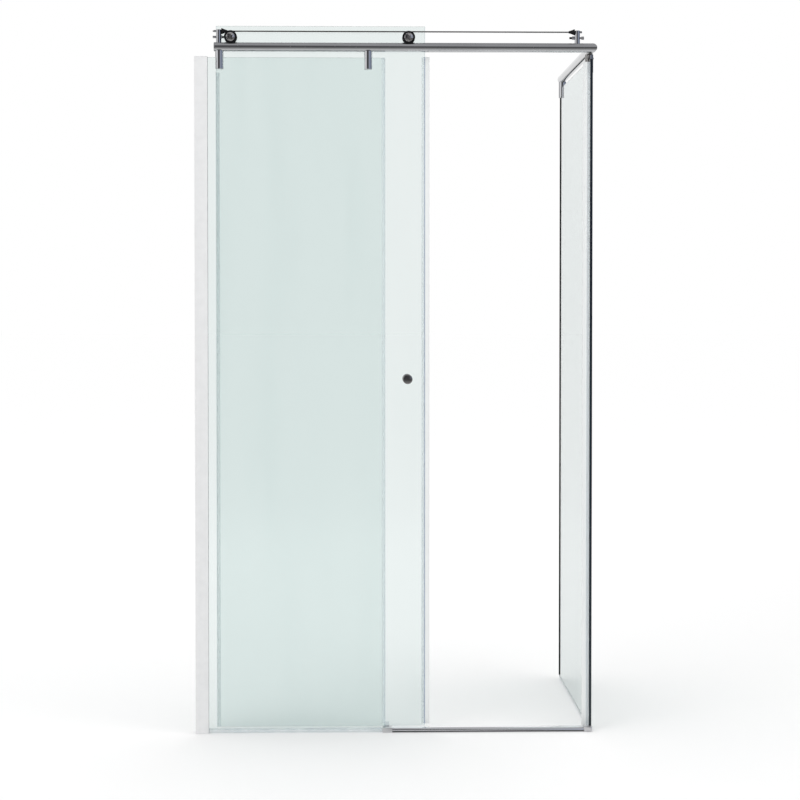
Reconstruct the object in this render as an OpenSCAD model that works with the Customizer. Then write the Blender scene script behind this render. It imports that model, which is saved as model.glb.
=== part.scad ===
/* [Enclosure] */
// Width from the side wall to the outer face of the side rail
front_w = 1193; // [1100:1:1500]
// Depth from the front of the header rail to the rear wall
depth = 900; // [700:1:1200]
// Height of the fixed glass and of the return glass
panel_h = 2000; // [1800:1:2200]
// Thickness of every glass pane
glass_t = 8; // [6:1:8]
// Gap under the fixed and the return glass
glass_lift = 8; // [7:1:10]

/* [Sliding door] */
// Width of the sliding glass
door_w = 620; // [580:1:660]
// Height of the sliding glass above the top of the header rail
door_rise = 50; // [40:1:70]
// Gap between the sliding glass and the shower tray
door_lift = 15.5; // [15:0.5:20]
// Distance from the rail axis back to the front face of the sliding glass
door_offset = 18; // [18:0.5:22]
// Overlap of the sliding and the fixed glass when the door is shut
overlap = 43; // [35:1:60]
// Distance from the trailing edge of the sliding glass to the first axle
axle_trail = 44; // [30:1:80]
// Distance from the leading edge of the sliding glass to the second axle
axle_lead = 49; // [35:1:80]
// Gap left between the door seal and the strike when the door is shut
shut_gap = 0.5; // [0.4:0.1:2]

/* [Rails] */
// Diameter of the header rail and of the side rail
rail_d = 28; // [26:1:30]
// Wall of the rail tubes
rail_wall = 2; // [1.5:0.5:2.5]
// Gap between the top of the fixed glass and the rail
rail_gap = 17; // [14:1:25]
// Smallest distance from the side wall to the outer end of the header rail
rail_start = 57.5; // [45:0.5:58]
// Length of each leg of the corner elbow, measured to the corner axis
elbow_leg = 25; // [20:1:30]
// Length of the spigots inside the rail ends
spigot_len = 12; // [8:1:12]
// Length of the wall plug inside the side rail
plug_len = 15; // [10:1:16]
// Radius of the screw hole through the wall plug
plug_hole_r = 2.75; // [2.25:0.25:3.5]
// Radial clearance of spigots, plugs and caps in the rails
spigot_gap = 0.1; // [0.05:0.05:0.3]

/* [Rollers] */
// Rolling radius of the wheels
wheel_r = 15; // [14:0.5:18]
// Height of the wheel flanges beside the rail
flange_h = 4; // [3:0.5:5]
// Width of the wheels
wheel_w = 24; // [22:1:26]
// Clearance between the wheel groove and the rail
groove_gap = 0.3; // [0.25:0.05:0.6]
// Radius of the wheel axles
axle_r = 4; // [3:0.5:5]
// Running clearance between axle and bearing
running_gap = 0.05; // [0.02:0.01:0.1]
// Outer radius of the bearing bushes
bearing_r = 8; // [7:0.5:9]
// Radius of the hub caps
cap_r = 15; // [13.5:0.5:16]
// Thickness of the hub caps at their centre
cap_t = 3.6; // [3:0.2:5]
// Radius of the axle holes in the sliding glass
axle_hole_r = 7; // [6:0.5:9]

/* [Rail stops] */
// Radius of the stop posts
post_r = 8; // [7:0.5:9]
// Height of the stop posts above the rail
post_h = 37; // [36:1:45]
// Distance from the outer end of the header rail to the first stop post
post_start = 14.5; // [12.5:0.5:18.5]
// Distance from the outer face of the side rail to the second stop post
post_inset = 58; // [56:0.5:60]
// Radius of the guard rod over the wheels
rod_r = 2; // [1.5:0.25:2.5]
// Gap between the wheel groove and the guard rod
rod_gap = 0.6; // [0.4:0.1:1]
// Length of the rubber buffer cones on the guard rod
buffer_len = 18; // [14:1:19]
// Large radius of the buffer cones
buffer_r = 9; // [7:0.5:9]
// Radius of the stop screws
stop_r = 2.5; // [2:0.25:3]
// Length of the rubber tip on the first stop screw
tip_short = 4.7; // [4:0.1:6]
// Length of the locknut on the first stop screw
locknut_short = 3; // [2.5:0.5:4]
// Length of the locknut on the second stop screw
locknut_long = 8; // [5:0.5:9]
// Gap between a stop tip and the wheel at the end of the travel
stop_gap = 0.3; // [0.3:0.1:1]

/* [Glass clamps] */
// Radius of the glass clamps
clamp_r = 12.5; // [11.5:0.5:13]
// Distance that the clamps reach below the rail
clamp_drop = 51; // [45:1:60]
// Thickness of the rubber between clamp and glass
pad_t = 1; // [0.5:0.25:1.5]
// Distance from the outer end of the header rail to the first rail clamp
clamp_start = 16.5; // [16:0.5:30]
// Distance from the free edge of the fixed glass to the second rail clamp
clamp_inset = 50; // [30:1:120]
// Distance from the header rail axis to the front side clamp
side_clamp_v = 75; // [60:1:150]
// Distance from the rear wall to the rear side clamp
side_clamp_gap = 26; // [26:1:80]
// Radius of the studs through the rail wall
stud_r = 4; // [3:0.5:4]

/* [Wall profile] */
// Width of the wall profile seen from the front
profile_w = 38.5; // [36:0.5:42]
// Depth of the wall channel from the wall
channel_d = 24; // [20:1:25]
// Wall of the channel and of the profile
profile_t = 1.8; // [1.4:0.2:2.2]
// Radius of the wall screw holes in the channel
wall_hole_r = 2.75; // [2.25:0.25:3.5]
// Height of the lowest wall screw hole
wall_hole_z = 150; // [60:10:300]
// Distance between the two middle wall screw holes
wall_hole_mid = 600; // [300:10:900]
// Thickness of the rubber that holds the fixed glass
gasket_t = 2.4; // [1.8:0.2:2.6]

/* [Seals and threshold] */
// Wall of the clear plastic seals
seal_t = 1.2; // [0.8:0.1:1.4]
// Length over which the edge seals grip the glass
seal_grip = 10; // [8:1:12]
// Distance that the leading seal reaches past the sliding glass
lead_reach = 13.5; // [12:0.5:16]
// Distance that the strike stands off the return glass
strike_reach = 20; // [16:0.5:24]
// Height of the threshold bar
bar_h = 14; // [12:0.5:14]
// Depth of the threshold bar in front of the rail axis
bar_front = 10; // [8:0.5:12]
// Depth of the threshold bar behind the rail axis
bar_back = 12; // [10:0.5:12]
// Clearance between the guide jaws and the sliding glass
jaw_gap = 0.5; // [0.3:0.1:1]
// Height of the guide jaws above their block
jaw_h = 13; // [10:1:18]

/* [Knob] */
// Radius of the knobs
knob_r = 14.5; // [12:0.5:17]
// Length of each knob
knob_len = 29; // [24:1:30]
// Height of the knobs above the shower tray
knob_z = 1055; // [900:5:1200]
// Distance from the leading edge of the sliding glass to the knobs
knob_inset = 52; // [40:1:120]
// Smallest distance of the knobs from the free edge of the fixed glass
knob_clear = 15; // [10:1:40]

/* [Hidden] */
$fn = 48;

rail_r = rail_d / 2;
bore_r = rail_r - rail_wall;
wall_x = -front_w / 2;
rail_y = -depth / 2 + rail_r;
side_u = front_w - rail_r;
wall_v = depth - rail_r;
glass_top = glass_lift + panel_h;
rail_under = glass_top + rail_gap;
rail_z = rail_under + rail_r;
rail_top = rail_z + rail_r;
over = 1;
small_gap = 0.3;
thread_gap = 0.1;
hex_across = cos(30);

// Places along the travel, as distances from the side wall
flange_r = wheel_r + flange_h;
strike_u = side_u - glass_t / 2 - strike_reach;
door_shut_u = strike_u - shut_gap - lead_reach - door_w;
fixed_edge_u = door_shut_u + overlap;
stop_reach = post_r + locknut_short + tip_short + stop_gap + flange_r;

// The door opens as far as the side wall and the knob let it, and the rail starts at its stop
door_u = max(
    rail_start + post_start + stop_reach - axle_trail,
    fixed_edge_u + knob_clear + knob_r + knob_inset - door_w
);
wheel_left_u = door_u + axle_trail;
post_left_u = wheel_left_u - stop_reach;
rail_start_u = post_left_u - post_start;
clamp_left_u = rail_start_u + clamp_start;
door_end_u = door_u + door_w;
wheel_right_u = door_end_u - axle_lead;
travel = door_shut_u - door_u;
post_right_u = front_w - post_inset;
tip_end_u = wheel_right_u + travel + flange_r + stop_gap;
clamp_right_u = fixed_edge_u - clamp_inset;
rail_end_u = side_u - elbow_leg;
end_cap_t = 2;
rail_open_u = rail_start_u + end_cap_t;

// Heights
wheel_z = rail_top + wheel_r;
door_top = rail_top + door_rise;
rod_z = wheel_z + wheel_r - groove_gap + rod_gap + rod_r;
stop_z = wheel_z;
clamp_low = rail_r + clamp_drop;
glass_drop = rail_r + rail_gap;

// Depth places, as distances behind the rail axis
door_back = door_offset + glass_t;
door_mid = door_offset + glass_t / 2;
return_front = 10;
return_back = wall_v - seal_t;
side_clamp_rear_v = wall_v - side_clamp_gap;

// Places a piece by its distance from the side wall, from the rail axis and from the tray
module at(u, v, z) translate([wall_x + u, rail_y + v, z]) children();

// Round bars along each level axis, starting at their own origin
module bar_x(len, r) rotate([0, 90, 0]) cylinder(h = len, r = r);
module bar_y(len, r) rotate([-90, 0, 0]) cylinder(h = len, r = r);

// Upright extrusion of a plan outline
module upright(low, high) translate([0, 0, low]) linear_extrude(high - low) children();

// Level extrusions of a cross-section drawn as width by height
module run_x(len) rotate([90, 0, 90]) linear_extrude(len) children();
module run_y(len) rotate([90, 0, 180]) linear_extrude(len) children();

// Rectangle given by its two ranges
module box2(x0, x1, y0, y1) translate([x0, y0]) square([x1 - x0, y1 - y0]);

// Plan outline of a pane with its polished arrises, long side along x
arris = 0.6;
module pane_plan(len) {
    half = glass_t / 2;
    polygon([
        [arris, -half], [len - arris, -half], [len, -half + arris], [len, half - arris],
        [len - arris, half], [arris, half], [0, half - arris], [0, -half + arris]
    ]);
}

// Hexagonal nut body with flats a given distance from its axis
module hex_bar(len, flat_r) cylinder(h = len, r = flat_r / hex_across, $fn = 6);

// Wall profile group
channel_half = rail_r - profile_t - small_gap / 2;
web_gap = 0.5;
web_u = channel_d + web_gap;
pocket_u = web_u + profile_t;
pocket_half = glass_t / 2 + gasket_t;
chamber_half = pocket_half + profile_t;
gasket_base = 1.7;
pane_u = pocket_u + gasket_base;
cap_plate = 2.5;
profile_screw_r = 1.9;
profile_screw_u = 12;
profile_screw_span = 700;
profile_screw_head = 2.2;
wall_hole_top = panel_h - wall_hole_z;
wall_hole_heights = [
    wall_hole_z, (panel_h - wall_hole_mid) / 2, (panel_h + wall_hole_mid) / 2, wall_hole_top
];
profile_screw_heights = [
    for (step = [-1 : 1]) panel_h / 2 + step * profile_screw_span
];

module wall_channel() color("silver") difference() {
    at(0, 0, 0) upright(0, panel_h) difference() {
        box2(0, channel_d, -channel_half, channel_half);
        box2(profile_t, channel_d + over, profile_t - channel_half, channel_half - profile_t);
    }
    for (z = wall_hole_heights) at(-over, 0, z) bar_x(profile_t + 2 * over, wall_hole_r);
    for (z = profile_screw_heights) {
        at(profile_screw_u, 0, z) bar_y(rail_r, profile_screw_r + thread_gap);
    }
}

module wall_profile() color("white") difference() {
    at(0, 0, 0) upright(0, glass_top) difference() {
        box2(0, profile_w, -rail_r, rail_r);
        box2(-over, web_u, profile_t - rail_r, rail_r - profile_t);
        box2(pocket_u, profile_w + over, -pocket_half, pocket_half);
        for (side = [0, 1]) mirror([0, side]) {
            box2(pocket_u, profile_w - profile_t, chamber_half, rail_r - profile_t);
        }
    }
    for (z = profile_screw_heights) {
        at(profile_screw_u, 0, z) bar_y(rail_r + over, profile_screw_r + thread_gap);
    }
}

cap_leg = 8;
cap_leg_gap = 0.2;
module profile_cap() color("white") at(0, 0, 0) {
    upright(glass_top, glass_top + cap_plate) box2(0, profile_w, -rail_r, rail_r);
    for (side = [0, 1]) mirror([0, side]) upright(glass_top - cap_leg, glass_top) {
        box2(pocket_u + cap_leg_gap, profile_w - profile_t - cap_leg_gap,
            chamber_half + cap_leg_gap, rail_r - profile_t - cap_leg_gap);
    }
}

profile_screw_depth = 5.5;
module profile_screws() color("silver") for (z = profile_screw_heights) {
    at(profile_screw_u, 0, z) {
        translate([0, rail_r - profile_screw_depth, 0]) bar_y(profile_screw_depth, profile_screw_r);
        translate([0, rail_r, 0]) rotate([-90, 0, 0]) {
            cylinder(h = profile_screw_head, r1 = 2 * profile_screw_r, r2 = profile_screw_r);
        }
    }
}

module glazing_gasket() color("dimgray") at(0, 0, 0) upright(0, glass_top) difference() {
    box2(pocket_u, profile_w, -pocket_half, pocket_half);
    box2(pane_u, profile_w + over, -glass_t / 2, glass_t / 2);
}

// Fixed glass group
module fixed_glass() color("lightblue", 0.4) at(pane_u, 0, 0) upright(glass_lift, glass_top) {
    pane_plan(fixed_edge_u - pane_u);
}

// Edge seal with a fin that reaches back to the sliding glass
fin_gap = 0.7;
module fixed_edge_seal() color("white", 0.6) {
    half = glass_t / 2 + seal_t;
    at(fixed_edge_u, 0, 0) upright(bar_h + jaw_h + fin_gap, glass_top) {
        difference() {
            box2(-seal_grip, seal_t, -half, half);
            box2(-seal_grip - over, 0, -glass_t / 2, glass_t / 2);
        }
        box2(0, seal_t, half - seal_t, door_offset - fin_gap);
    }
}

// Cross-section of a bottom seal, with short legs up both faces of the glass
foot_grip = 5.5;
module foot_section() difference() {
    box2(-glass_t / 2 - seal_t, glass_t / 2 + seal_t, 0, glass_lift + foot_grip);
    box2(-glass_t / 2, glass_t / 2, glass_lift, glass_lift + foot_grip + over);
    box2(-glass_t / 2, glass_t / 2, -over, glass_lift - 2 * seal_t);
}

guide_len = 29;
guide_under = 8;
guide_u = fixed_edge_u - guide_under;
module fixed_bottom_seal() color("white", 0.6) at(profile_w, 0, 0) {
    run_x(guide_u - profile_w) foot_section();
}

// Rail group
grub_r = 2.5;
grub_back = 6;
grub_len = 5;
plug_grub_v = wall_v - plug_len / 2;
module header_rail() color("lightgray") difference() {
    at(rail_open_u, 0, rail_z) bar_x(rail_end_u - rail_open_u, rail_r);
    at(rail_open_u - over, 0, rail_z) bar_x(rail_end_u - rail_open_u + 2 * over, bore_r);
    for (u = [clamp_left_u, clamp_right_u]) {
        at(u, 0, rail_under - over) cylinder(h = rail_r, r = stud_r + thread_gap);
    }
    for (u = [post_left_u, post_right_u]) {
        at(u, 0, rail_z) cylinder(h = rail_r + over, r = stud_r + thread_gap);
    }
    at(rail_end_u - grub_back, 0, rail_under - over) cylinder(h = rail_r, r = grub_r + thread_gap);
}

end_spigot = 3.5;
module rail_end_cap() color("silver") at(rail_start_u, 0, rail_z) {
    rotate([0, 90, 0]) cylinder(h = end_cap_t, r1 = rail_r - end_cap_t / 2, r2 = rail_r);
    bar_x(end_cap_t + end_spigot, bore_r - spigot_gap);
}

// Elbow legs meet on the mitre plane through the corner axis
mitre = 2 * rail_r;
module corner_elbow() color("silver") at(side_u, 0, rail_z) difference() {
    union() {
        intersection() {
            translate([-elbow_leg, 0, 0]) bar_x(elbow_leg + rail_r, rail_r);
            upright(-mitre, mitre) polygon([
                [-elbow_leg - over, -mitre], [mitre, -mitre], [-mitre, mitre], [-elbow_leg - over, mitre]
            ]);
        }
        intersection() {
            translate([0, -rail_r, 0]) bar_y(elbow_leg + rail_r, rail_r);
            upright(-mitre, mitre) polygon([
                [mitre, -mitre], [mitre, elbow_leg + over], [-mitre, elbow_leg + over], [-mitre, mitre]
            ]);
        }
        translate([-elbow_leg - spigot_len, 0, 0]) bar_x(spigot_len + over, bore_r - spigot_gap);
        translate([0, elbow_leg - over, 0]) bar_y(spigot_len + over, bore_r - spigot_gap);
    }
    translate([-elbow_leg - grub_back, 0, -rail_r]) {
        cylinder(h = rail_wall + grub_len, r = grub_r + thread_gap);
    }
    translate([0, elbow_leg + grub_back, -rail_r]) {
        cylinder(h = rail_wall + grub_len, r = grub_r + thread_gap);
    }
}

module side_rail() color("lightgray") difference() {
    at(side_u, elbow_leg, rail_z) bar_y(wall_v - elbow_leg, rail_r);
    at(side_u, elbow_leg - over, rail_z) bar_y(wall_v - elbow_leg + 2 * over, bore_r);
    for (v = [side_clamp_v, side_clamp_rear_v]) {
        at(side_u, v, rail_under - over) cylinder(h = rail_r, r = stud_r + thread_gap);
    }
    for (v = [elbow_leg + grub_back, plug_grub_v]) {
        at(side_u, v, rail_under - over) cylinder(h = rail_r, r = grub_r + thread_gap);
    }
}

countersink = 2.5;
module side_rail_plug() color("silver") difference() {
    at(side_u, wall_v - plug_len, rail_z) bar_y(plug_len, bore_r - spigot_gap);
    at(side_u, wall_v - plug_len - over, rail_z) bar_y(plug_len + 2 * over, plug_hole_r);
    at(side_u, wall_v - plug_len, rail_z) rotate([-90, 0, 0]) {
        cylinder(h = countersink, r1 = plug_hole_r + countersink, r2 = plug_hole_r);
    }
    at(side_u, plug_grub_v, rail_under) {
        cylinder(h = rail_wall + grub_len, r = grub_r + thread_gap);
    }
}

// Grub screws that lock the elbow and the wall plug, with hexagon sockets from below
grub_socket = 1.25;
module grub() difference() {
    translate([0, 0, rail_wall / 2]) cylinder(h = grub_len, r = grub_r);
    cylinder(h = rail_wall / 2 + grub_len / 2, r = grub_socket / hex_across, $fn = 6);
}

module rail_grub_screws() color("dimgray") {
    at(rail_end_u - grub_back, 0, rail_under) grub();
    at(side_u, elbow_leg + grub_back, rail_under) grub();
    at(side_u, plug_grub_v, rail_under) grub();
}

// Clamp group, drawn about the rail axis with the glass along x
saddle_h = 3;
stud_depth = 12;
stud_head = 7;
nut_t = 6;
nut_flat = 6.5;
clamp_chamfer = 1;
clamp_screw_r = 2.9;
clamp_screw_drop = 17;
lock_drop = 9;
lock_r = 2;
lock_head_r = 4.2;
lock_head_t = 2.6;
lock_seat = 1.2;

module stud_place(front) {
    if (front) {
        for (u = [clamp_left_u, clamp_right_u]) at(u, 0, rail_z) children();
    } else {
        for (v = [side_clamp_v, side_clamp_rear_v]) at(side_u, v, rail_z) rotate([0, 0, 90]) children();
    }
}

module clamp_body(locked) difference() {
    union() {
        translate([0, 0, -clamp_low]) {
            cylinder(h = clamp_chamfer, r1 = clamp_r - clamp_chamfer, r2 = clamp_r);
        }
        translate([0, 0, clamp_chamfer - clamp_low]) {
            cylinder(h = clamp_low - clamp_chamfer - rail_r + saddle_h, r = clamp_r);
        }
    }
    translate([-2 * rail_r, 0, 0]) bar_x(4 * rail_r, rail_r);
    translate([-2 * clamp_r, -glass_t / 2 - pad_t, -clamp_low - over]) {
        cube([4 * clamp_r, glass_t + 2 * pad_t, clamp_low - glass_drop + pad_t + over]);
    }
    translate([0, 0, -rail_r - stud_depth]) cylinder(h = stud_depth + rail_r, r = stud_r);
    translate([0, 0, -glass_drop - clamp_screw_drop]) bar_y(2 * clamp_r, clamp_screw_r + thread_gap);
    if (locked) translate([0, 0, -rail_r - lock_drop]) rotate([0, 0, 180]) {
        bar_y(2 * clamp_r, lock_r + thread_gap);
        translate([0, clamp_r - lock_seat, 0]) bar_y(clamp_r, lock_head_r + thread_gap);
    }
}

module rail_clamp_left() color("silver") at(clamp_left_u, 0, rail_z) clamp_body(false);

module rail_clamp_right() color("silver") at(clamp_right_u, 0, rail_z) clamp_body(false);

module side_clamp_front() color("silver") {
    at(side_u, side_clamp_v, rail_z) rotate([0, 0, 90]) clamp_body(true);
}

module side_clamp_rear() color("silver") {
    at(side_u, side_clamp_rear_v, rail_z) rotate([0, 0, 90]) clamp_body(true);
}

// Saddle-shaped rubber over the top edge of the glass in each clamp
pad_half = 10;
module pad() difference() {
    translate([-pad_half, -glass_t / 2 - pad_t, -clamp_low]) {
        cube([2 * pad_half, glass_t + 2 * pad_t, clamp_low - glass_drop + pad_t]);
    }
    translate([-pad_half - over, -glass_t / 2, -clamp_low - over]) {
        cube([2 * pad_half + 2 * over, glass_t, clamp_low - glass_drop + over]);
    }
}

module clamp_pads() color("black") {
    stud_place(true) pad();
    stud_place(false) pad();
}

// Socket screws that press the pads on the glass, on the inner side of the enclosure
clamp_screw_short = 1;
clamp_socket = 1.5;
module clamp_screw() translate([0, glass_t / 2 + pad_t, -glass_drop - clamp_screw_drop]) {
    len = clamp_r - glass_t / 2 - pad_t - clamp_screw_short;
    difference() {
        bar_y(len, clamp_screw_r);
        translate([0, len / 2, 0]) rotate([-90, 0, 0]) hex_bar(len, clamp_socket);
    }
}

module clamp_screws() color("dimgray") {
    stud_place(true) clamp_screw();
    stud_place(false) clamp_screw();
}

// Domed screws on the outer side of the side clamps, which lock the studs
module lock_screws() color("silver") stud_place(false) {
    translate([0, 0, -rail_r - lock_drop]) rotate([0, 0, 180]) {
        translate([0, stud_r, 0]) bar_y(clamp_r - stud_r - lock_seat, lock_r);
        translate([0, clamp_r - lock_seat, 0]) intersection() {
            bar_y(lock_head_t, lock_head_r);
            translate([0, lock_head_t - lock_head_r - over, 0]) sphere(r = lock_head_r + over);
        }
    }
}

module stud() translate([0, 0, -rail_r - stud_depth]) {
    cylinder(h = stud_depth + rail_wall + stud_head, r = stud_r);
}

module rail_studs() color("dimgray") {
    stud_place(true) stud();
    stud_place(false) stud();
}

// Nut that beds on the inside of the tube
module tube_nut() difference() {
    intersection() {
        translate([0, 0, -bore_r]) rotate(30) hex_bar(nut_t, nut_flat);
        translate([-2 * nut_flat, 0, 0]) bar_x(4 * nut_flat, bore_r);
    }
    translate([0, 0, -rail_r]) cylinder(h = rail_r, r = stud_r);
}

module stud_nuts() color("dimgray") {
    stud_place(true) tube_nut();
    stud_place(false) tube_nut();
    for (u = [post_left_u, post_right_u]) at(u, 0, rail_z) mirror([0, 0, 1]) tube_nut();
}

// Stop group, drawn about the rail axis
post_chamfer = 1;
module stop_post() difference() {
    union() {
        difference() {
            union() {
                translate([0, 0, rail_r - saddle_h]) {
                    cylinder(h = post_h + saddle_h - post_chamfer, r = post_r);
                }
                translate([0, 0, rail_r + post_h - post_chamfer]) {
                    cylinder(h = post_chamfer, r1 = post_r, r2 = post_r - post_chamfer);
                }
            }
            translate([-2 * rail_r, 0, 0]) bar_x(4 * rail_r, rail_r);
        }
        translate([0, 0, rail_r - rail_wall - stud_head]) {
            cylinder(h = rail_wall + stud_head + over, r = stud_r);
        }
    }
    translate([-2 * post_r, 0, rod_z - rail_z]) bar_x(4 * post_r, rod_r + thread_gap);
    translate([-2 * post_r, 0, stop_z - rail_z]) bar_x(4 * post_r, stop_r + thread_gap);
}

module stop_post_left() color("silver") at(post_left_u, 0, rail_z) stop_post();

module stop_post_right() color("silver") at(post_right_u, 0, rail_z) stop_post();

// Each stop screw has its head outside the post and its rubber tip towards the wheel
head_short = 9.5;
head_short_r = 3.75;
head_long = 11.6;
head_long_r = 5;
locknut_r = 4.5;
tip_r = 3.2;
tip_bore = 2.5;
tip_long = post_right_u - post_r - locknut_long - tip_end_u;

module stop_screw(head, head_r, nut_len) {
    translate([-post_r - head, 0, 0]) difference() {
        bar_x(head, head_r);
        translate([-over, 0, 0]) rotate([0, 90, 0]) hex_bar(head / 2, head_r / 2);
    }
    translate([-post_r, 0, 0]) bar_x(2 * post_r + nut_len + tip_bore, stop_r);
}

module stop_screws() color("silver") {
    at(post_left_u, 0, stop_z) stop_screw(head_short, head_short_r, locknut_short);
    at(post_right_u, 0, stop_z) mirror([1, 0, 0]) stop_screw(head_long, head_long_r, locknut_long);
}

module locknut(len) translate([post_r, 0, 0]) difference() {
    rotate([0, 90, 0]) hex_bar(len, locknut_r);
    translate([-over, 0, 0]) bar_x(len + 2 * over, stop_r);
}

module stop_nuts() color("dimgray") {
    at(post_left_u, 0, stop_z) locknut(locknut_short);
    at(post_right_u, 0, stop_z) mirror([1, 0, 0]) locknut(locknut_long);
}

module tip(start, len) translate([post_r + start, 0, 0]) difference() {
    bar_x(len, tip_r);
    translate([-over, 0, 0]) bar_x(tip_bore + over, stop_r);
}

module stop_tips() color("black") {
    at(post_left_u, 0, stop_z) tip(locknut_short, tip_short);
    at(post_right_u, 0, stop_z) mirror([1, 0, 0]) tip(locknut_long, tip_long);
}

rod_nut_len = 6;
rod_nut_flat = 3;
rod_tail = 3.5;
rod_start_u = post_left_u - post_r - rod_nut_len - rod_tail;
rod_end_u = post_right_u + post_r + rod_nut_len;
module guard_rod() color("silver") {
    at(rod_start_u, 0, rod_z) bar_x(rod_end_u - rod_start_u, rod_r);
}

module rod_nut(u) at(u, 0, rod_z) difference() {
    rotate([0, 90, 0]) hex_bar(rod_nut_len, rod_nut_flat);
    translate([-over, 0, 0]) bar_x(rod_nut_len + 2 * over, rod_r);
}

module rod_nuts() color("silver") {
    rod_nut(post_left_u - post_r - rod_nut_len);
    rod_nut(post_right_u + post_r);
}

buffer_tip_r = 3;
module buffer() translate([post_r, 0, 0]) difference() {
    rotate([0, 90, 0]) {
        cylinder(h = over, r = buffer_r);
        translate([0, 0, over]) cylinder(h = buffer_len - over, r1 = buffer_r, r2 = buffer_tip_r);
    }
    translate([-over, 0, 0]) bar_x(buffer_len + 2 * over, rod_r);
}

module rod_buffer_left() color("black") at(post_left_u, 0, rod_z) buffer();

module rod_buffer_right() color("black") at(post_right_u, 0, rod_z) mirror([1, 0, 0]) buffer();

// Return side group
module return_glass() color("lightblue", 0.4) {
    at(side_u, return_front, 0) upright(glass_lift, glass_top) rotate([0, 0, 90]) {
        pane_plan(return_back - return_front);
    }
}

// Strike section drawn from the glass face towards the door
strike_flange = 12;
strike_half = glass_t / 2 + seal_t;
magnet_t = 3.8;
magnet_half = 3.5;
magnet_skin = 0.6;
strike_top_gap = 8;
strike_low = glass_lift + foot_grip + small_gap;
module strike_profile() color("white", 0.6) at(side_u - glass_t / 2, door_mid, 0) {
    upright(strike_low, glass_top - strike_top_gap) difference() {
        union() {
            box2(-strike_reach, 0, -strike_half, strike_half);
            box2(-seal_t, 0, return_front - door_mid + small_gap, strike_flange);
        }
        box2(magnet_skin - strike_reach, magnet_skin + magnet_t - strike_reach, -magnet_half, magnet_half);
        box2(magnet_skin + magnet_t + seal_t - strike_reach, -seal_t, seal_t - strike_half,
            strike_half - seal_t);
    }
}

module strike_magnet() color("black") at(strike_u + magnet_skin, door_mid, 0) {
    upright(strike_low, glass_top - strike_top_gap) box2(0, magnet_t, -magnet_half, magnet_half);
}

// Black rubber that covers the rear edge of the return glass
wall_seal_grip = 9;
wall_seal_lip = 2.2;
module return_wall_seal() color("black") at(side_u, return_back, 0) {
    half = glass_t / 2 + wall_seal_lip;
    upright(strike_low, glass_top) difference() {
        box2(-half, half, -wall_seal_grip, seal_t);
        box2(-glass_t / 2, glass_t / 2, -wall_seal_grip - over, 0);
    }
}

module return_bottom_seal() color("white", 0.6) at(side_u, return_front, 0) {
    run_y(wall_v - return_front) foot_section();
}

// Threshold group
bar_nose = 8;
bar_groove = 1.5;
groove_back = 6;
corner_len = 25;
corner_outer = 5;
corner_front = bar_front + 2;
corner_u = side_u + corner_outer - corner_len;
bar_u = guide_u + guide_len;
module threshold_bar() color("silver") at(bar_u, 0, 0) run_x(corner_u - bar_u) difference() {
    union() {
        box2(bar_nose - bar_front, bar_back, 0, bar_h);
        box2(-bar_front, bar_back, 0, bar_h - bar_nose);
        translate([bar_nose - bar_front, bar_h - bar_nose]) intersection() {
            circle(r = bar_nose);
            box2(-bar_nose, 0, 0, bar_nose);
        }
    }
    box2(bar_nose - bar_front, groove_back, -over, bar_groove);
}

// Block that holds the free bottom corner of the fixed glass and carries the door guide
jaw_t = 4;
jaw_len = 16;
jaw_in = 4;
jaw_low = 4;
guide_margin = 4;
slot_gap = 0.2;
jaw_front = door_offset - jaw_gap - jaw_t;
jaw_back = door_back + jaw_gap + jaw_t;
module guide_block() color("silver") difference() {
    at(guide_u, 0, 0) upright(0, bar_h) {
        box2(0, guide_len, -bar_front, jaw_back + guide_margin);
    }
    at(guide_u - over, -glass_t / 2 - slot_gap, glass_lift) {
        cube([guide_under + over + slot_gap, glass_t + 2 * slot_gap, bar_h]);
    }
    at(guide_u + jaw_in, jaw_front, bar_h - jaw_low) {
        cube([jaw_len, jaw_back - jaw_front, bar_h]);
    }
}

module guide_jaws() color("white", 0.7) at(guide_u + jaw_in, 0, 0) {
    run_x(jaw_len) difference() {
        box2(jaw_front, jaw_back, bar_h - jaw_low, bar_h + jaw_h);
        box2(door_offset - jaw_gap, door_back + jaw_gap, bar_h, bar_h + jaw_h + over);
    }
}

corner_round = 6;
corner_h = bar_h + 1;
module corner_block() color("silver") at(corner_u, 0, 0) upright(0, corner_h) {
    box2(0, corner_len - corner_round, -corner_front, return_front);
    box2(0, corner_len, corner_round - corner_front, return_front);
    translate([corner_len - corner_round, corner_round - corner_front]) circle(r = corner_round);
}

// Sliding door group
knob_u = door_end_u - knob_inset;
knob_hole_r = 5;
module door_glass() color("lightblue", 0.4) difference() {
    at(door_u, door_mid, 0) upright(door_lift, door_top) pane_plan(door_w);
    for (u = [wheel_left_u, wheel_right_u]) {
        at(u, door_offset - over, wheel_z) bar_y(glass_t + 2 * over, axle_hole_r);
    }
    at(knob_u, door_offset - over, knob_z) bar_y(glass_t + 2 * over, knob_hole_r);
}

lead_top_gap = 12;
lead_low = 6;
lead_corner = 2;
door_magnet_half = 2.9;
module door_leading_seal() color("white", 0.6) at(door_end_u, door_mid, 0) {
    half = glass_t / 2 + seal_t;
    upright(door_lift + lead_low, rail_under - lead_top_gap) difference() {
        union() {
            box2(-seal_grip, lead_reach - lead_corner, -half, half);
            box2(-seal_grip, lead_reach, lead_corner - half, half - lead_corner);
            for (side = [-1, 1]) translate([lead_reach - lead_corner, side * (half - lead_corner)]) {
                circle(r = lead_corner);
            }
        }
        box2(-seal_grip - over, 0, -glass_t / 2, glass_t / 2);
        box2(seal_t, lead_reach - magnet_skin - magnet_t - seal_t, seal_t - half, half - seal_t);
        box2(lead_reach - magnet_skin - magnet_t, lead_reach - magnet_skin, -door_magnet_half,
            door_magnet_half);
    }
}

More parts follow.
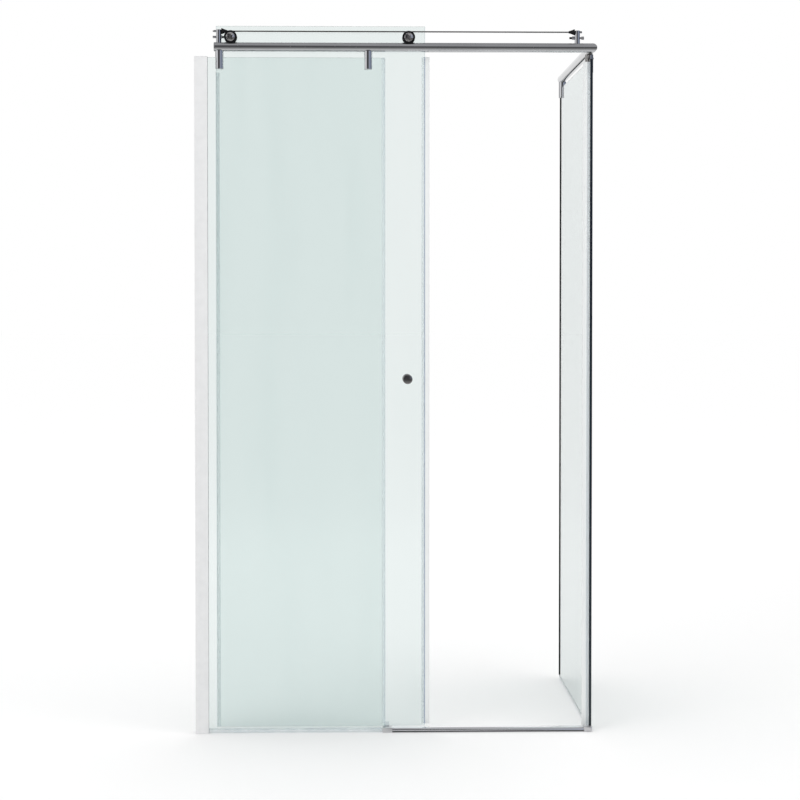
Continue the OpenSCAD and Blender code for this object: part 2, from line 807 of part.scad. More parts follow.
module door_magnet() color("black") at(door_end_u + lead_reach - magnet_skin - magnet_t, door_mid, 0) {
    upright(door_lift + lead_low, rail_under - lead_top_gap) {
        box2(0, magnet_t, -door_magnet_half, door_magnet_half);
    }
}

// Trailing seal, whose fin reaches forward to the fixed glass and passes below the clamps
trail_fin = 9;
trail_under = 9;
module door_trailing_seal() color("white", 0.6) at(door_u, door_mid, 0) {
    half = glass_t / 2 + seal_t;
    upright(door_lift, rail_under - clamp_drop - trail_under) {
        difference() {
            box2(-seal_t, seal_grip, -half, half);
            box2(0, seal_grip + over, -glass_t / 2, glass_t / 2);
        }
        box2(-seal_t, 0, -half - trail_fin, -half);
    }
}

// Knobs with a drawn-in waist, seen along their own axis from the glass outwards
knob_washer_t = 1;
knob_washer_r = 10;
knob_base = 11;
waist_z = 9;
waist_r = 11;
waist_depth = 4;
knob_edge = 2;
knob_dish = 0.8;
knob_bore_r = 3;
knob_bore = 10;
module knob() difference() {
    union() {
        cylinder(h = knob_len - knob_edge, r = knob_r);
        translate([0, 0, knob_len - knob_edge]) {
            cylinder(h = knob_edge, r1 = knob_r, r2 = knob_r - knob_edge / 2);
        }
    }
    rotate_extrude() translate([knob_r + waist_r - waist_depth, waist_z]) circle(r = waist_r);
    translate([0, 0, -over]) difference() {
        cylinder(h = over + knob_washer_t, r = 2 * knob_r);
        cylinder(h = over + knob_washer_t, r = knob_base);
    }
    translate([0, 0, knob_len - knob_dish]) {
        cylinder(h = knob_dish + over, r1 = knob_r - 2 * knob_edge, r2 = knob_r - knob_edge);
    }
    translate([0, 0, -over]) cylinder(h = knob_bore + over, r = knob_bore_r);
}

module knob_front() color("dimgray") {
    at(knob_u, door_offset - knob_washer_t, knob_z) rotate([90, 0, 0]) knob();
}

module knob_rear() color("dimgray") {
    at(knob_u, door_back + knob_washer_t, knob_z) rotate([-90, 0, 0]) knob();
}

module knob_stud() color("silver") {
    len = glass_t + 2 * knob_washer_t + 2 * knob_bore;
    at(knob_u, door_mid - len / 2, knob_z) bar_y(len, knob_bore_r);
}

module washer(outer, inner, t) difference() {
    bar_y(t, outer);
    translate([0, -over, 0]) bar_y(t + 2 * over, inner);
}

module knob_washers() color("white", 0.7) {
    at(knob_u, door_offset - knob_washer_t, knob_z) washer(knob_washer_r, knob_bore_r, knob_washer_t);
    at(knob_u, door_back, knob_z) washer(knob_washer_r, knob_bore_r, knob_washer_t);
}

// Roller group, drawn about the wheel centre with the axle along y
wheel_half = wheel_w / 2;
recess_r = 12.5;
recess_d = 6;
bush_flange_r = 11;
bush_flange_t = 1.5;
axle_head_r = 8;
axle_head_t = 2.5;
axle_collar_r = 9;
axle_washer_r = 11;
axle_washer_t = 1;
axle_nut_t = 6;
axle_nut_flat = 6.5;
axle_dome_r = 6;
axle_tail = 7;
bush_front = recess_d - wheel_half - bush_flange_t;
axle_head_v = bush_front - small_gap - axle_head_t;

module wheel() difference() {
    translate([0, -wheel_half, 0]) bar_y(wheel_w, flange_r);
    rotate([90, 0, 0]) rotate_extrude() {
        translate([wheel_r + rail_r, 0]) circle(r = rail_r + groove_gap, $fn = 96);
    }
    translate([0, -wheel_half - over, 0]) bar_y(recess_d + over, recess_r);
    translate([0, -wheel_half - over, 0]) bar_y(wheel_w + 2 * over, bearing_r);
}

module bearing() difference() {
    union() {
        translate([0, bush_front, 0]) bar_y(wheel_half - bush_front, bearing_r);
        translate([0, bush_front, 0]) bar_y(bush_flange_t, bush_flange_r);
    }
    translate([0, -wheel_half, 0]) bar_y(wheel_w + over, axle_r + running_gap);
}

// Domed cap with a ring that snaps into the wheel recess
cap_ring_t = 1;
cap_ring_h = 2;
cap_ring_gap = 0.1;
cap_rise = 1.6;
cap_sphere_r = (cap_r * cap_r + cap_rise * cap_rise) / (2 * cap_rise);
module hub_cap() {
    translate([0, -wheel_half, 0]) rotate([90, 0, 0]) rotate_extrude($fn = 96) intersection() {
        square([cap_r, cap_t]);
        translate([0, cap_t - cap_sphere_r]) circle(r = cap_sphere_r, $fn = 360);
    }
    translate([0, -wheel_half, 0]) difference() {
        bar_y(cap_ring_h, recess_r - cap_ring_gap);
        translate([0, -over, 0]) bar_y(cap_ring_h + 2 * over, recess_r - cap_ring_gap - cap_ring_t);
    }
}

module roller_axle() {
    translate([0, axle_head_v, 0]) bar_y(axle_head_t, axle_head_r);
    translate([0, axle_head_v, 0]) {
        bar_y(door_back + axle_washer_t + axle_tail - axle_head_v, axle_r);
    }
    translate([0, wheel_half + small_gap, 0]) {
        bar_y(door_offset - axle_washer_t - wheel_half - small_gap, axle_collar_r);
    }
}

module cap_nut() difference() {
    union() {
        rotate([-90, 0, 0]) hex_bar(axle_nut_t, axle_nut_flat);
        translate([0, axle_nut_t, 0]) intersection() {
            sphere(r = axle_dome_r);
            translate([0, -over, 0]) bar_y(axle_dome_r + 2 * over, axle_dome_r + over);
        }
    }
    translate([0, -over, 0]) bar_y(axle_tail + over, axle_r);
}

module roller_axle_left() color("silver") at(wheel_left_u, 0, wheel_z) roller_axle();

module roller_axle_right() color("silver") at(wheel_right_u, 0, wheel_z) roller_axle();

module axle_bushings() color("white", 0.7) for (u = [wheel_left_u, wheel_right_u]) {
    at(u, door_offset, wheel_z) washer(axle_hole_r, axle_r, glass_t);
}

module axle_washers() color("white", 0.7) for (u = [wheel_left_u, wheel_right_u]) {
    at(u, door_offset - axle_washer_t, wheel_z) washer(axle_washer_r, axle_r, axle_washer_t);
    at(u, door_back, wheel_z) washer(axle_washer_r, axle_r, axle_washer_t);
}

module axle_nuts() color("silver") for (u = [wheel_left_u, wheel_right_u]) {
    at(u, door_back + axle_washer_t, wheel_z) cap_nut();
}

module wheel_left() color("black") at(wheel_left_u, 0, wheel_z) wheel();

module bearing_left() color("white") at(wheel_left_u, 0, wheel_z) bearing();

module hub_cap_left() color("silver") at(wheel_left_u, 0, wheel_z) hub_cap();

module wheel_right() color("black") at(wheel_right_u, 0, wheel_z) wheel();

module bearing_right() color("white") at(wheel_right_u, 0, wheel_z) bearing();

module hub_cap_right() color("silver") at(wheel_right_u, 0, wheel_z) hub_cap();

wall_channel();
wall_profile();
profile_cap();
profile_screws();
glazing_gasket();
fixed_glass();
fixed_edge_seal();
fixed_bottom_seal();
header_rail();
rail_end_cap();
corner_elbow();
side_rail();
side_rail_plug();
rail_grub_screws();
rail_clamp_left();
rail_clamp_right();
side_clamp_front();
side_clamp_rear();
clamp_pads();
clamp_screws();
lock_screws();
rail_studs();
stud_nuts();
stop_post_left();
stop_post_right();
stop_screws();
stop_tips();
stop_nuts();
guard_rod();
rod_nuts();
rod_buffer_left();
rod_buffer_right();
return_glass();
strike_profile();
strike_magnet();
return_wall_seal();
return_bottom_seal();
threshold_bar();
guide_block();
guide_jaws();
corner_block();
door_glass();
door_leading_seal();
door_magnet();
door_trailing_seal();
knob_front();
knob_rear();
knob_stud();
knob_washers();
roller_axle_left();
roller_axle_right();
axle_bushings();
axle_washers();
axle_nuts();
wheel_left();
bearing_left();
hub_cap_left();
wheel_right();
bearing_right();
hub_cap_right();
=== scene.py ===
import math

import bmesh
import bpy
from mathutils import Matrix, Vector


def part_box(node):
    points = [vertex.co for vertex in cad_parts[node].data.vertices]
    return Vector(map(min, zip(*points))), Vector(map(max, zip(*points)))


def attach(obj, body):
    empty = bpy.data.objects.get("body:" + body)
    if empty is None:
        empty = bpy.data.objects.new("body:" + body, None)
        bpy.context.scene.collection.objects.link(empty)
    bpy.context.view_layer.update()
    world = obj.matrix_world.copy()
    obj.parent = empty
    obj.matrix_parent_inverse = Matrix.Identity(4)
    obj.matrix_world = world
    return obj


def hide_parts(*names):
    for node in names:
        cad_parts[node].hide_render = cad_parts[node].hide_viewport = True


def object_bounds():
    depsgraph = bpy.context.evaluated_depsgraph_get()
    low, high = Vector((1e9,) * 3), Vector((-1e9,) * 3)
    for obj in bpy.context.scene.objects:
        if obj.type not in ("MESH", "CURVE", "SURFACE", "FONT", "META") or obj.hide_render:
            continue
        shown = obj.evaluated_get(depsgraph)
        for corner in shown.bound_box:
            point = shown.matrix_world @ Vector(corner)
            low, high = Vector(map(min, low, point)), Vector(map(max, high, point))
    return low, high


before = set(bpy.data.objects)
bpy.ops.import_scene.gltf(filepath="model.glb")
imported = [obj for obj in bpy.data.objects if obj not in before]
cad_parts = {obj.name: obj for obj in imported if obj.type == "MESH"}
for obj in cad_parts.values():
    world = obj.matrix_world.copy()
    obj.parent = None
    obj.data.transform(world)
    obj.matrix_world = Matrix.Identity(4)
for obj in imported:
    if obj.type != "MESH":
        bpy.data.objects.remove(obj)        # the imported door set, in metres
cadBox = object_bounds()
print("frame loaded:", len(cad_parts), "nodes")

mm = 0.001
xAxis = Vector((1, 0, 0))
yAxis = Vector((0, 1, 0))
zAxis = Vector((0, 0, 1))


# Camera, floor and light

studio = {
    "cameraPlace": (-0.1465, -6.7155, 1.2818),
    "cameraTurn": 1.4446,         # degrees towards +X
    "cameraDip": 1.5464,          # degrees below the horizon
    "lens": 95.027,
    "shiftY": -0.05,
    "clipEnd": 200,
    "floorSize": 80.0,
    "floorGap": 0.5,              # mm below the set
    "floorColour": (0.87, 0.87, 0.87),
    "floorRough": 0.9,
    "floorLift": (0.11, 0.25),    # brings the lit floor up to white, near and far
    "floorReach": (2.5, 9.0),     # metres from the middle of the set, near and far
    "skyFill": 0.86,
    "softboxes": [
        # place, aim, width, height, watts
        ((-3.4, -4.6, 4.6), (0.0, 0.0, 1.0), 3.2, 3.2, 70),
        ((3.8, -3.4, 3.6), (0.1, 0.0, 1.0), 2.4, 3.0, 28),
        ((-0.6, 4.2, 4.8), (0.0, 0.2, 0.9), 3.4, 2.4, 50),
    ],
}


def middle(node):
    low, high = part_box(node)
    return (low + high) / 2


def aimed(direction):
    return Vector(direction).to_track_quat("-Z", "Y").to_euler()


def makeCamera(look):
    lens = bpy.data.cameras.new("photoLens")
    lens.lens = look["lens"]
    lens.sensor_width = 36
    lens.shift_y = look["shiftY"]
    lens.clip_end = look["clipEnd"]
    camera = bpy.data.objects.new("photoCamera", lens)
    bpy.context.scene.collection.objects.link(camera)
    turn = math.radians(look["cameraTurn"])
    dip = math.radians(look["cameraDip"])
    camera.location = look["cameraPlace"]
    camera.rotation_euler = aimed((
        math.sin(turn) * math.cos(dip), math.cos(turn) * math.cos(dip), -math.sin(dip)
    ))
    bpy.context.scene.camera = camera


def makeSoftboxes(look):
    for index, (place, target, width, height, watts) in enumerate(look["softboxes"]):
        light = bpy.data.lights.new(f"softbox{index}", "AREA")
        light.shape = "RECTANGLE"
        light.size = width
        light.size_y = height
        light.energy = watts
        lamp = bpy.data.objects.new(f"softbox{index}", light)
        lamp.location = place
        lamp.rotation_euler = aimed(Vector(target) - Vector(place))
        lamp.visible_glossy = False       # the chrome mirrors the room below instead
        lamp.visible_transmission = False
        bpy.context.scene.collection.objects.link(lamp)


class Nodes:
    # short hand for building a node tree

    def __init__(self, tree):
        self.tree = tree
        tree.nodes.clear()

    def add(self, kind, sockets=None, **settings):
        node = self.tree.nodes.new(kind)
        for key, value in settings.items():
            setattr(node, key, value)
        for socket, value in (sockets or {}).items():
            self.feed(node, socket, value)
        return node

    def feed(self, node, socket, value):
        # a socket takes either a link or a plain value
        if isinstance(value, bpy.types.NodeSocket):
            self.tree.links.new(value, node.inputs[socket])
        else:
            node.inputs[socket].default_value = value

    def math(self, operation, first, second=0.0, clamp=False):
        return self.add("ShaderNodeMath", {0: first, 1: second}, operation=operation,
                        use_clamp=clamp).outputs[0]

    def vector(self, operation, first, second=(0.0, 0.0, 0.0)):
        return self.add("ShaderNodeVectorMath", {0: first, 1: second},
                        operation=operation).outputs

    def parts(self, vector):
        return self.add("ShaderNodeSeparateXYZ", {0: vector}).outputs

    def span(self, value, low, high, toLow=0.0, toHigh=1.0, smooth=False):
        sockets = {"Value": value, "From Min": low, "From Max": high, "To Min": toLow,
                   "To Max": toHigh}
        return self.add("ShaderNodeMapRange", sockets,
                        interpolation_type="SMOOTHSTEP" if smooth else "LINEAR").outputs["Result"]

    def noise(self, place, scale, detail, low, high):
        # soft clouds, stretched so that low and high become 0 and 1
        sockets = {"Vector": place, "Scale": scale, "Detail": detail}
        return self.span(self.add("ShaderNodeTexNoise", sockets).outputs[0], low, high)

    def blendColours(self, factor, first, second, blend="MIX"):
        # sockets 6 and 7 and output 2 are the mix node's colours
        return self.add("ShaderNodeMix", {0: factor, 6: first, 7: second}, data_type="RGBA",
                        blend_type=blend).outputs[2]

    def ramp(self, value, stops):
        # a colour ramp over 0 to 1, from pairs of place and colour
        node = self.add("ShaderNodeValToRGB", {0: value})
        elements = node.color_ramp.elements
        while len(elements) < len(stops):
            elements.new(0.5)
        for element, (at, colour) in zip(elements, stops):
            element.position = at
            element.color = opaque(colour)
        return node.outputs[0]

    def mirrorRay(self, path):
        # 1 for a ray that comes off metal, 0 for one that came through glass
        through = self.math("SUBTRACT", 1.0, path.outputs["Is Transmission Ray"])
        return self.math("MULTIPLY", path.outputs["Is Glossy Ray"], through)

    def seenRay(self, path):
        # 1 for a ray that the camera follows directly, in a mirror or through glass
        seen = self.math("ADD", path.outputs["Is Camera Ray"], path.outputs["Is Glossy Ray"])
        return self.math("ADD", seen, path.outputs["Is Transmission Ray"], clamp=True)

    def mixShaders(self, factor, first, second):
        sockets = {0: factor, 1: first.outputs[0], 2: second.outputs[0]}
        return self.add("ShaderNodeMixShader", sockets)

    def finish(self, kind, shader):
        self.add(kind, {0: shader.outputs[0]})


def opaque(colour):
    return (*colour, 1.0)


def startMaterial(name):
    # a new material, its nodes and the place on the piece that patterns follow
    material = bpy.data.materials.new(name)
    material.use_nodes = True
    nodes = Nodes(material.node_tree)
    return material, nodes, nodes.add("ShaderNodeTexCoord").outputs["Object"]


room = {
    # what metal mirrors in front of the door: bands from the horizon up, stripes by side.
    # Each is a list of places from 0 to 1 with their colours
    "bands": (
        (0.00, (0.10, 0.10, 0.105)), (0.36, (0.10, 0.10, 0.105)),
        (0.56, (0.40, 0.40, 0.41)), (1.00, (0.40, 0.40, 0.41)),
    ),
    "stripes": (
        (0.00, (0.92, 0.92, 0.93)), (0.10, (0.92, 0.92, 0.93)), (0.19, (0.36, 0.36, 0.37)),
        (0.27, (0.045, 0.045, 0.05)), (0.43, (0.045, 0.045, 0.05)), (0.55, (0.19, 0.19, 0.20)),
        (0.70, (0.34, 0.37, 0.45)), (0.82, (0.42, 0.46, 0.56)), (0.96, (0.22, 0.26, 0.35)),
    ),
    # parts of a direction's length: to the side, to the back and up
    "leanSide": (-0.08, 0.12),
    "leanRise": (-0.10, 0.14),       # the bands stand a little higher at the left
    "stripeSide": (0.12, 0.30),
    "stripeHeight": (0.75, 0.35),
    "endSide": (-0.3, 0.3),
    "endDepth": (-0.10, 0.35),
    "leftEnd": (0.45, 0.45, 0.45),
    "rightEnd": (0.14, 0.16, 0.20),
    "behindDepth": (0.60, 0.95),
    "behindHeight": (0.0, 0.3),
    "lowBehind": (0.86, 0.86, 0.86),
    # share of the floor's white that metal mirrors, by metres in front of the door
    "floorShare": ((-3.0, 0.86), (0.0, 0.88), (1.2, 0.70), (3.0, 0.34), (8.0, 0.13)),
    # a wedge of painted shade on the floor behind, seen only in metal, where it paints a dark
    # edge along the side rail: metres sideways for each metre away, where it starts and is full,
    # and the share of white that is left in it
    "wedgeLeft": (-0.10, -0.015),
    "wedgeRight": (0.055, 0.025),
    "paintedShadeDepth": (4.0, 9.0),
    "paintedShadeShare": 0.03,
}
white = opaque((1.0, 1.0, 1.0))


def makeRoom(look):
    world = bpy.data.worlds.new("paleRoom")
    world.use_nodes = True
    bpy.context.scene.world = world
    nodes = Nodes(world.node_tree)
    side, depth, height = nodes.parts(nodes.add("ShaderNodeTexCoord").outputs["Generated"])

    # a dark band stands over the horizon
    lean = nodes.span(side, *look["leanSide"], *look["leanRise"], smooth=True)
    bands = nodes.ramp(nodes.math("ADD", height, lean), look["bands"])
    # both ends of the room are lighter and make the stripes on upright metal
    stripes = nodes.ramp(nodes.span(side, -1.0, 1.0), look["stripes"])
    ends = nodes.blendColours(nodes.span(side, *look["endSide"]), opaque(look["leftEnd"]),
                              opaque(look["rightEnd"]))
    beside = nodes.span(depth, *look["endDepth"], smooth=True)
    stripes = nodes.blendColours(beside, stripes, ends)
    level = nodes.span(nodes.math("ABSOLUTE", height), *look["stripeHeight"], smooth=True)
    sideways = nodes.span(nodes.math("ABSOLUTE", side), *look["stripeSide"], smooth=True)
    mirrored = nodes.blendColours(nodes.math("MULTIPLY", sideways, level), bands, stripes)
    # behind the door metal mirrors the white background
    pale = nodes.blendColours(nodes.span(height, *look["behindHeight"], smooth=True),
                              opaque(look["lowBehind"]), white)
    behind = nodes.span(depth, *look["behindDepth"], smooth=True)
    mirrored = nodes.blendColours(behind, mirrored, pale)

    path = nodes.add("ShaderNodeLightPath")
    fill = nodes.add("ShaderNodeBackground", {"Color": white, "Strength": studio["skyFill"]})
    shown = nodes.blendColours(nodes.mirrorRay(path), white, mirrored)
    background = nodes.add("ShaderNodeBackground", {"Color": shown})
    nodes.finish("ShaderNodeOutputWorld", nodes.mixShaders(nodes.seenRay(path), fill, background))


def makeFloor(look):
    bm = bmesh.new()
    bmesh.ops.create_grid(bm, x_segments=1, y_segments=1, size=look["floorSize"])
    mesh = bpy.data.meshes.new("paleFloor")
    bm.to_mesh(mesh)
    bm.free()
    floor = bpy.data.objects.new("paleFloor", mesh)
    floor.location.z = cadBox[0].z - look["floorGap"] * mm
    bpy.context.scene.collection.objects.link(floor)

    material, nodes, place = startMaterial("paleFloor")
    aside, away, _ = nodes.parts(place)
    reach = nodes.vector("LENGTH", place)["Value"]
    lift = nodes.span(reach, *look["floorReach"], *look["floorLift"], smooth=True)
    first, last = room["floorShare"][0][0], room["floorShare"][-1][0]
    share = nodes.ramp(nodes.span(away, -first, -last), [
        ((metres - first) / (last - first), (part, part, part))
        for metres, part in room["floorShare"]
    ])
    # far behind the side rail a wedge of the floor gets painted shade, which only metal mirrors
    slope = nodes.math("DIVIDE", nodes.math("SUBTRACT", aside, middle("side_rail").x), away)
    paintedShadeWedge = nodes.math("MULTIPLY", nodes.span(slope, *room["wedgeLeft"], smooth=True),
                       nodes.span(slope, *room["wedgeRight"], smooth=True))
    paintedShadeMask = nodes.math("MULTIPLY", paintedShadeWedge, nodes.span(away, *room["paintedShadeDepth"], smooth=True))
    share = nodes.blendColours(paintedShadeMask, share, opaque((room["paintedShadeShare"],) * 3))
    path = nodes.add("ShaderNodeLightPath")
    shade = nodes.blendColours(nodes.mirrorRay(path), white, share)
    shader = nodes.add("ShaderNodeBsdfPrincipled", {
        "Base Color": nodes.blendColours(1.0, opaque(look["floorColour"]), shade, "MULTIPLY"),
        "Roughness": look["floorRough"],
        "Specular IOR Level": 0.0,
        "Emission Color": shade,
        "Emission Strength": nodes.math("MULTIPLY", nodes.seenRay(path), lift),
    })
    nodes.finish("ShaderNodeOutputMaterial", shader)
    mesh.materials.append(material)


makeCamera(studio)
makeSoftboxes(studio)
makeRoom(room)
makeFloor(studio)
bpy.context.scene.view_settings.view_transform = "Standard"
print("studio ready")


# Shared effects, as shader groups

grainLook = {
    # detail of the noise, and the part of its range that is used
    "fine": (3.0, 0.3, 0.7),
    "cloud": (2.0, 0.32, 0.68),
    "cloudScale": 0.03,             # parts of the scale of the fine grain
}
waterLook = {
    # a dried drop, in parts of its cell: outside, core and how pale the core is
    "drop": (0.26, 0.12),
    "core": (0.16, 0.04),
    "coreShare": 0.6,
    "film": (3.0, 0.45, 0.75),
    "filmStretch": (1.0, 1.0, 0.12),
    "filmScale": 0.15,              # parts of the scale of the drops
}


def startGroup(name, inputs, outputs):
    # gives the nodes, the group's inputs and the node that its outputs go to
    tree = bpy.data.node_groups.new(name, "ShaderNodeTree")
    for title, kind, value in inputs:
        socket = tree.interface.new_socket(title, in_out="INPUT", socket_type=kind)
        if value is not None:
            socket.default_value = value
    for title in outputs:
        tree.interface.new_socket(title, in_out="OUTPUT", socket_type="NodeSocketFloat")
    nodes = Nodes(tree)
    return nodes, nodes.add("NodeGroupInput").outputs, nodes.add("NodeGroupOutput")


def makeGrainGroup(look):
    # fine lines or specks left by drawing, polishing and moulding
    nodes, given, output = startGroup("surfaceGrain", [
        ("Place", "NodeSocketVector", None),
        ("Stretch", "NodeSocketVector", (1.0, 1.0, 1.0)),
        ("Scale", "NodeSocketFloat", 600.0),
    ], ["Grain", "Cloud"])
    drawn = nodes.vector("MULTIPLY", given["Place"], given["Stretch"])[0]
    nodes.feed(output, "Grain", nodes.noise(drawn, given["Scale"], *look["fine"]))
    broad = nodes.math("MULTIPLY", given["Scale"], look["cloudScale"])
    nodes.feed(output, "Cloud", nodes.noise(drawn, broad, *look["cloud"]))
    return nodes.tree


def makeWaterGroup(look):
    # dried drops and a thin film where water ran down
    nodes, given, output = startGroup("waterMarks", [
        ("Place", "NodeSocketVector", None),
        ("Scale", "NodeSocketFloat", 120.0),
        ("Share", "NodeSocketFloat", 0.3),
    ], ["Drops", "Film"])
    cells = nodes.add("ShaderNodeTexVoronoi", {"Vector": given["Place"], "Scale": given["Scale"]})
    drop = nodes.span(cells.outputs["Distance"], *look["drop"], smooth=True)
    core = nodes.span(cells.outputs["Distance"], *look["core"], smooth=True)
    ring = nodes.math("SUBTRACT", drop, nodes.math("MULTIPLY", core, look["coreShare"]))
    chosen = nodes.add("ShaderNodeSeparateColor", {0: cells.outputs["Color"]}).outputs[0]
    kept = nodes.math("LESS_THAN", chosen, given["Share"])
    nodes.feed(output, "Drops", nodes.math("MULTIPLY", ring, kept))
    runs = nodes.vector("MULTIPLY", given["Place"], look["filmStretch"])[0]
    broad = nodes.math("MULTIPLY", given["Scale"], look["filmScale"])
    nodes.feed(output, "Film", nodes.noise(runs, broad, *look["film"]))
    return nodes.tree


grainGroup = makeGrainGroup(grainLook)
waterGroup = makeWaterGroup(waterLook)


# Finishes. Each has two near tints, a roughness span, its grain and its water marks

plainFinish = {
    # what a finish has where its own row says nothing else
    "metal": 0.0, "gloss": 0.5, "stretch": (1.0, 1.0, 1.0), "drops": 0.05, "dropScale": 160,
    "grainShade": 0.6,              # share of the darker tint where the grain is fine
    "dropRough": 0.25,              # roughness that dried drops add
    "filmRough": 0.5,               # and a film of water, in parts of the roughness span
    "bumpDepth": 0.2,               # mm
}

finishes = {
    "polishedChrome": {
        "tints": ((0.65, 0.655, 0.67), (0.58, 0.585, 0.60)), "metal": 1.0, "rough": (0.035, 0.09),
        "grainScale": 900, "stretch": (0.3, 0.3, 0.3), "bump": 0.015, "drops": 0.12,
    },
    # painted highlight: near-white chrome for the upper part of the threshold bar
    "brightChrome": {
        "tints": ((0.93, 0.94, 0.96), (0.84, 0.85, 0.87)), "metal": 1.0, "rough": (0.05, 0.12),
        "grainScale": 900, "stretch": (0.1, 1.0, 1.0), "bump": 0.015, "drops": 0.12,
    },
    "satinChrome": {
        "tints": ((0.80, 0.80, 0.81), (0.71, 0.71, 0.72)), "metal": 1.0, "rough": (0.24, 0.38),
        "grainScale": 2400, "stretch": (0.05, 1.0, 1.0), "bump": 0.04, "drops": 0.1,
    },
    "darkChrome": {
        "tints": ((0.44, 0.43, 0.43), (0.31, 0.30, 0.30)), "metal": 1.0, "rough": (0.07, 0.15),
        "grainScale": 1500, "stretch": (1.0, 0.2, 1.0), "bump": 0.02, "drops": 0.1, "dropScale": 180,
    },
    # polished chrome with painted shade: darker tints for the clamp under the elbow
    "shadedChrome": {
        "tints": ((0.44, 0.43, 0.42), (0.34, 0.33, 0.33)), "metal": 1.0, "rough": (0.05, 0.12),
        "grainScale": 900, "stretch": (0.3, 0.3, 0.3), "bump": 0.015, "drops": 0.12,
    },
    # painted dark reflection: near-black chrome for a band across the threshold bar
    "blackChrome": {
        "tints": ((0.12, 0.12, 0.125), (0.09, 0.09, 0.095)), "metal": 1.0, "rough": (0.10, 0.20),
        "grainScale": 1500, "stretch": (0.1, 1.0, 1.0), "bump": 0.02, "drops": 0.1, "dropScale": 180,
    },
    # hub caps: tints this far apart make the grain paint a mottle of light and dark reflections into
    # the chrome
    "capChromePaintedReflection": {
        "tints": ((0.97, 0.95, 0.94), (0.05, 0.048, 0.048)), "metal": 1.0, "rough": (0.05, 0.12),
        "grainScale": 8200, "stretch": (1.0, 0.1, 1.0), "bump": 0.03, "drops": 0.15, "dropScale": 260,
    },
    "rodSteel": {
        "tints": ((0.20, 0.19, 0.185), (0.14, 0.13, 0.13)), "metal": 1.0, "rough": (0.10, 0.22),
        "grainScale": 1800, "stretch": (0.1, 1.0, 1.0), "bump": 0.03, "drops": 0.1, "dropScale": 260,
    },
    "whiteEnamel": {
        "tints": ((0.81, 0.815, 0.82), (0.77, 0.775, 0.78)), "rough": (0.24, 0.36),
        "grainScale": 1500, "bump": 0.03, "drops": 0.06, "dropScale": 110,
    },
    "rawAluminium": {
        "tints": ((0.62, 0.63, 0.64), (0.52, 0.53, 0.54)), "metal": 1.0, "rough": (0.32, 0.5),
        "grainScale": 1800, "stretch": (1.0, 1.0, 0.03), "bump": 0.06, "drops": 0.0, "dropScale": 120,
    },
    "steel": {
        "tints": ((0.50, 0.50, 0.51), (0.38, 0.38, 0.40)), "metal": 1.0, "rough": (0.2, 0.36),
        "grainScale": 2600, "bump": 0.05, "drops": 0.08, "dropScale": 300,
    },
    "blackRubber": {
        "tints": ((0.008, 0.008, 0.009), (0.015, 0.015, 0.016)), "rough": (0.5, 0.72), "gloss": 0.15,
        "grainScale": 3200, "bump": 0.12, "dropScale": 260,
    },
    "greyRubber": {
        "tints": ((0.16, 0.17, 0.18), (0.11, 0.12, 0.13)), "rough": (0.45, 0.65),
        "grainScale": 2200, "stretch": (1.0, 1.0, 0.1), "bump": 0.08,
    },
    "magnetRubber": {
        "tints": ((0.06, 0.06, 0.068), (0.09, 0.09, 0.10)), "rough": (0.4, 0.6),
        "grainScale": 2400, "stretch": (1.0, 1.0, 0.05), "bump": 0.06, "drops": 0.0,
    },
    "blackNylon": {
        "tints": ((0.005, 0.005, 0.006), (0.010, 0.010, 0.012)), "rough": (0.34, 0.5), "gloss": 0.2,
        "grainScale": 2800, "stretch": (1.0, 0.3, 1.0), "bump": 0.06, "dropScale": 260,
    },
    "whiteAcetal": {
        "tints": ((0.80, 0.80, 0.78), (0.72, 0.72, 0.70)), "rough": (0.3, 0.45),
        "grainScale": 2600, "bump": 0.04, "drops": 0.0, "dropScale": 260,
    },
    "clearNylon": {
        "tints": ((0.78, 0.83, 0.84), (0.68, 0.74, 0.76)), "rough": (0.16, 0.28), "alpha": (0.62, 0.8),
        "grainScale": 1800, "bump": 0.03, "drops": 0.0, "dropScale": 260,
    },
    "clearSeal": {
        "tints": ((0.80, 0.87, 0.90), (0.72, 0.81, 0.86)), "rough": (0.08, 0.18), "alpha": (0.12, 0.22),
        "grainScale": 900, "stretch": (1.0, 1.0, 0.02), "bump": 0.04, "drops": 0.08,
    },
    "strikeSeal": {
        "tints": ((0.90, 0.93, 0.95), (0.82, 0.87, 0.91)), "rough": (0.12, 0.22), "alpha": (0.32, 0.46),
        "grainScale": 900, "stretch": (1.0, 1.0, 0.02), "bump": 0.04, "drops": 0.08,
    },
    "whiteNose": {
        "tints": ((0.95, 0.97, 0.97), (0.89, 0.92, 0.92)), "rough": (0.16, 0.28), "alpha": (0.86, 0.94),
        "grainScale": 900, "stretch": (1.0, 1.0, 0.02), "bump": 0.04, "drops": 0.06,
    },
    "blueWeb": {
        "tints": ((0.50, 0.58, 0.72), (0.42, 0.51, 0.66)), "rough": (0.16, 0.28), "alpha": (0.45, 0.60),
        "grainScale": 900, "stretch": (1.0, 1.0, 0.02), "bump": 0.04, "drops": 0.06,
    },
    "glassEdge": {
        "tints": ((0.008, 0.012, 0.020), (0.014, 0.024, 0.032)), "rough": (0.05, 0.14),
        "grainScale": 700, "stretch": (1.0, 1.0, 0.06), "bump": 0.03,
    },
    "topEdge": {
        "tints": ((0.016, 0.060, 0.052), (0.010, 0.042, 0.038)), "rough": (0.12, 0.24), "gloss": 0.3,
        "grainScale": 700, "stretch": (0.06, 0.06, 1.0), "bump": 0.03,
    },
    "paleEdge": {
        "tints": ((0.34, 0.47, 0.55), (0.24, 0.37, 0.46)), "rough": (0.08, 0.2), "alpha": (0.6, 0.8),
        "grainScale": 700, "stretch": (0.1, 1.0, 1.0), "bump": 0.03,
    },
}


def waterMarks(nodes, place, look):
    sockets = {"Place": place, "Scale": look["dropScale"], "Share": look["drops"]}
    return nodes.add("ShaderNodeGroup", sockets, node_tree=waterGroup).outputs


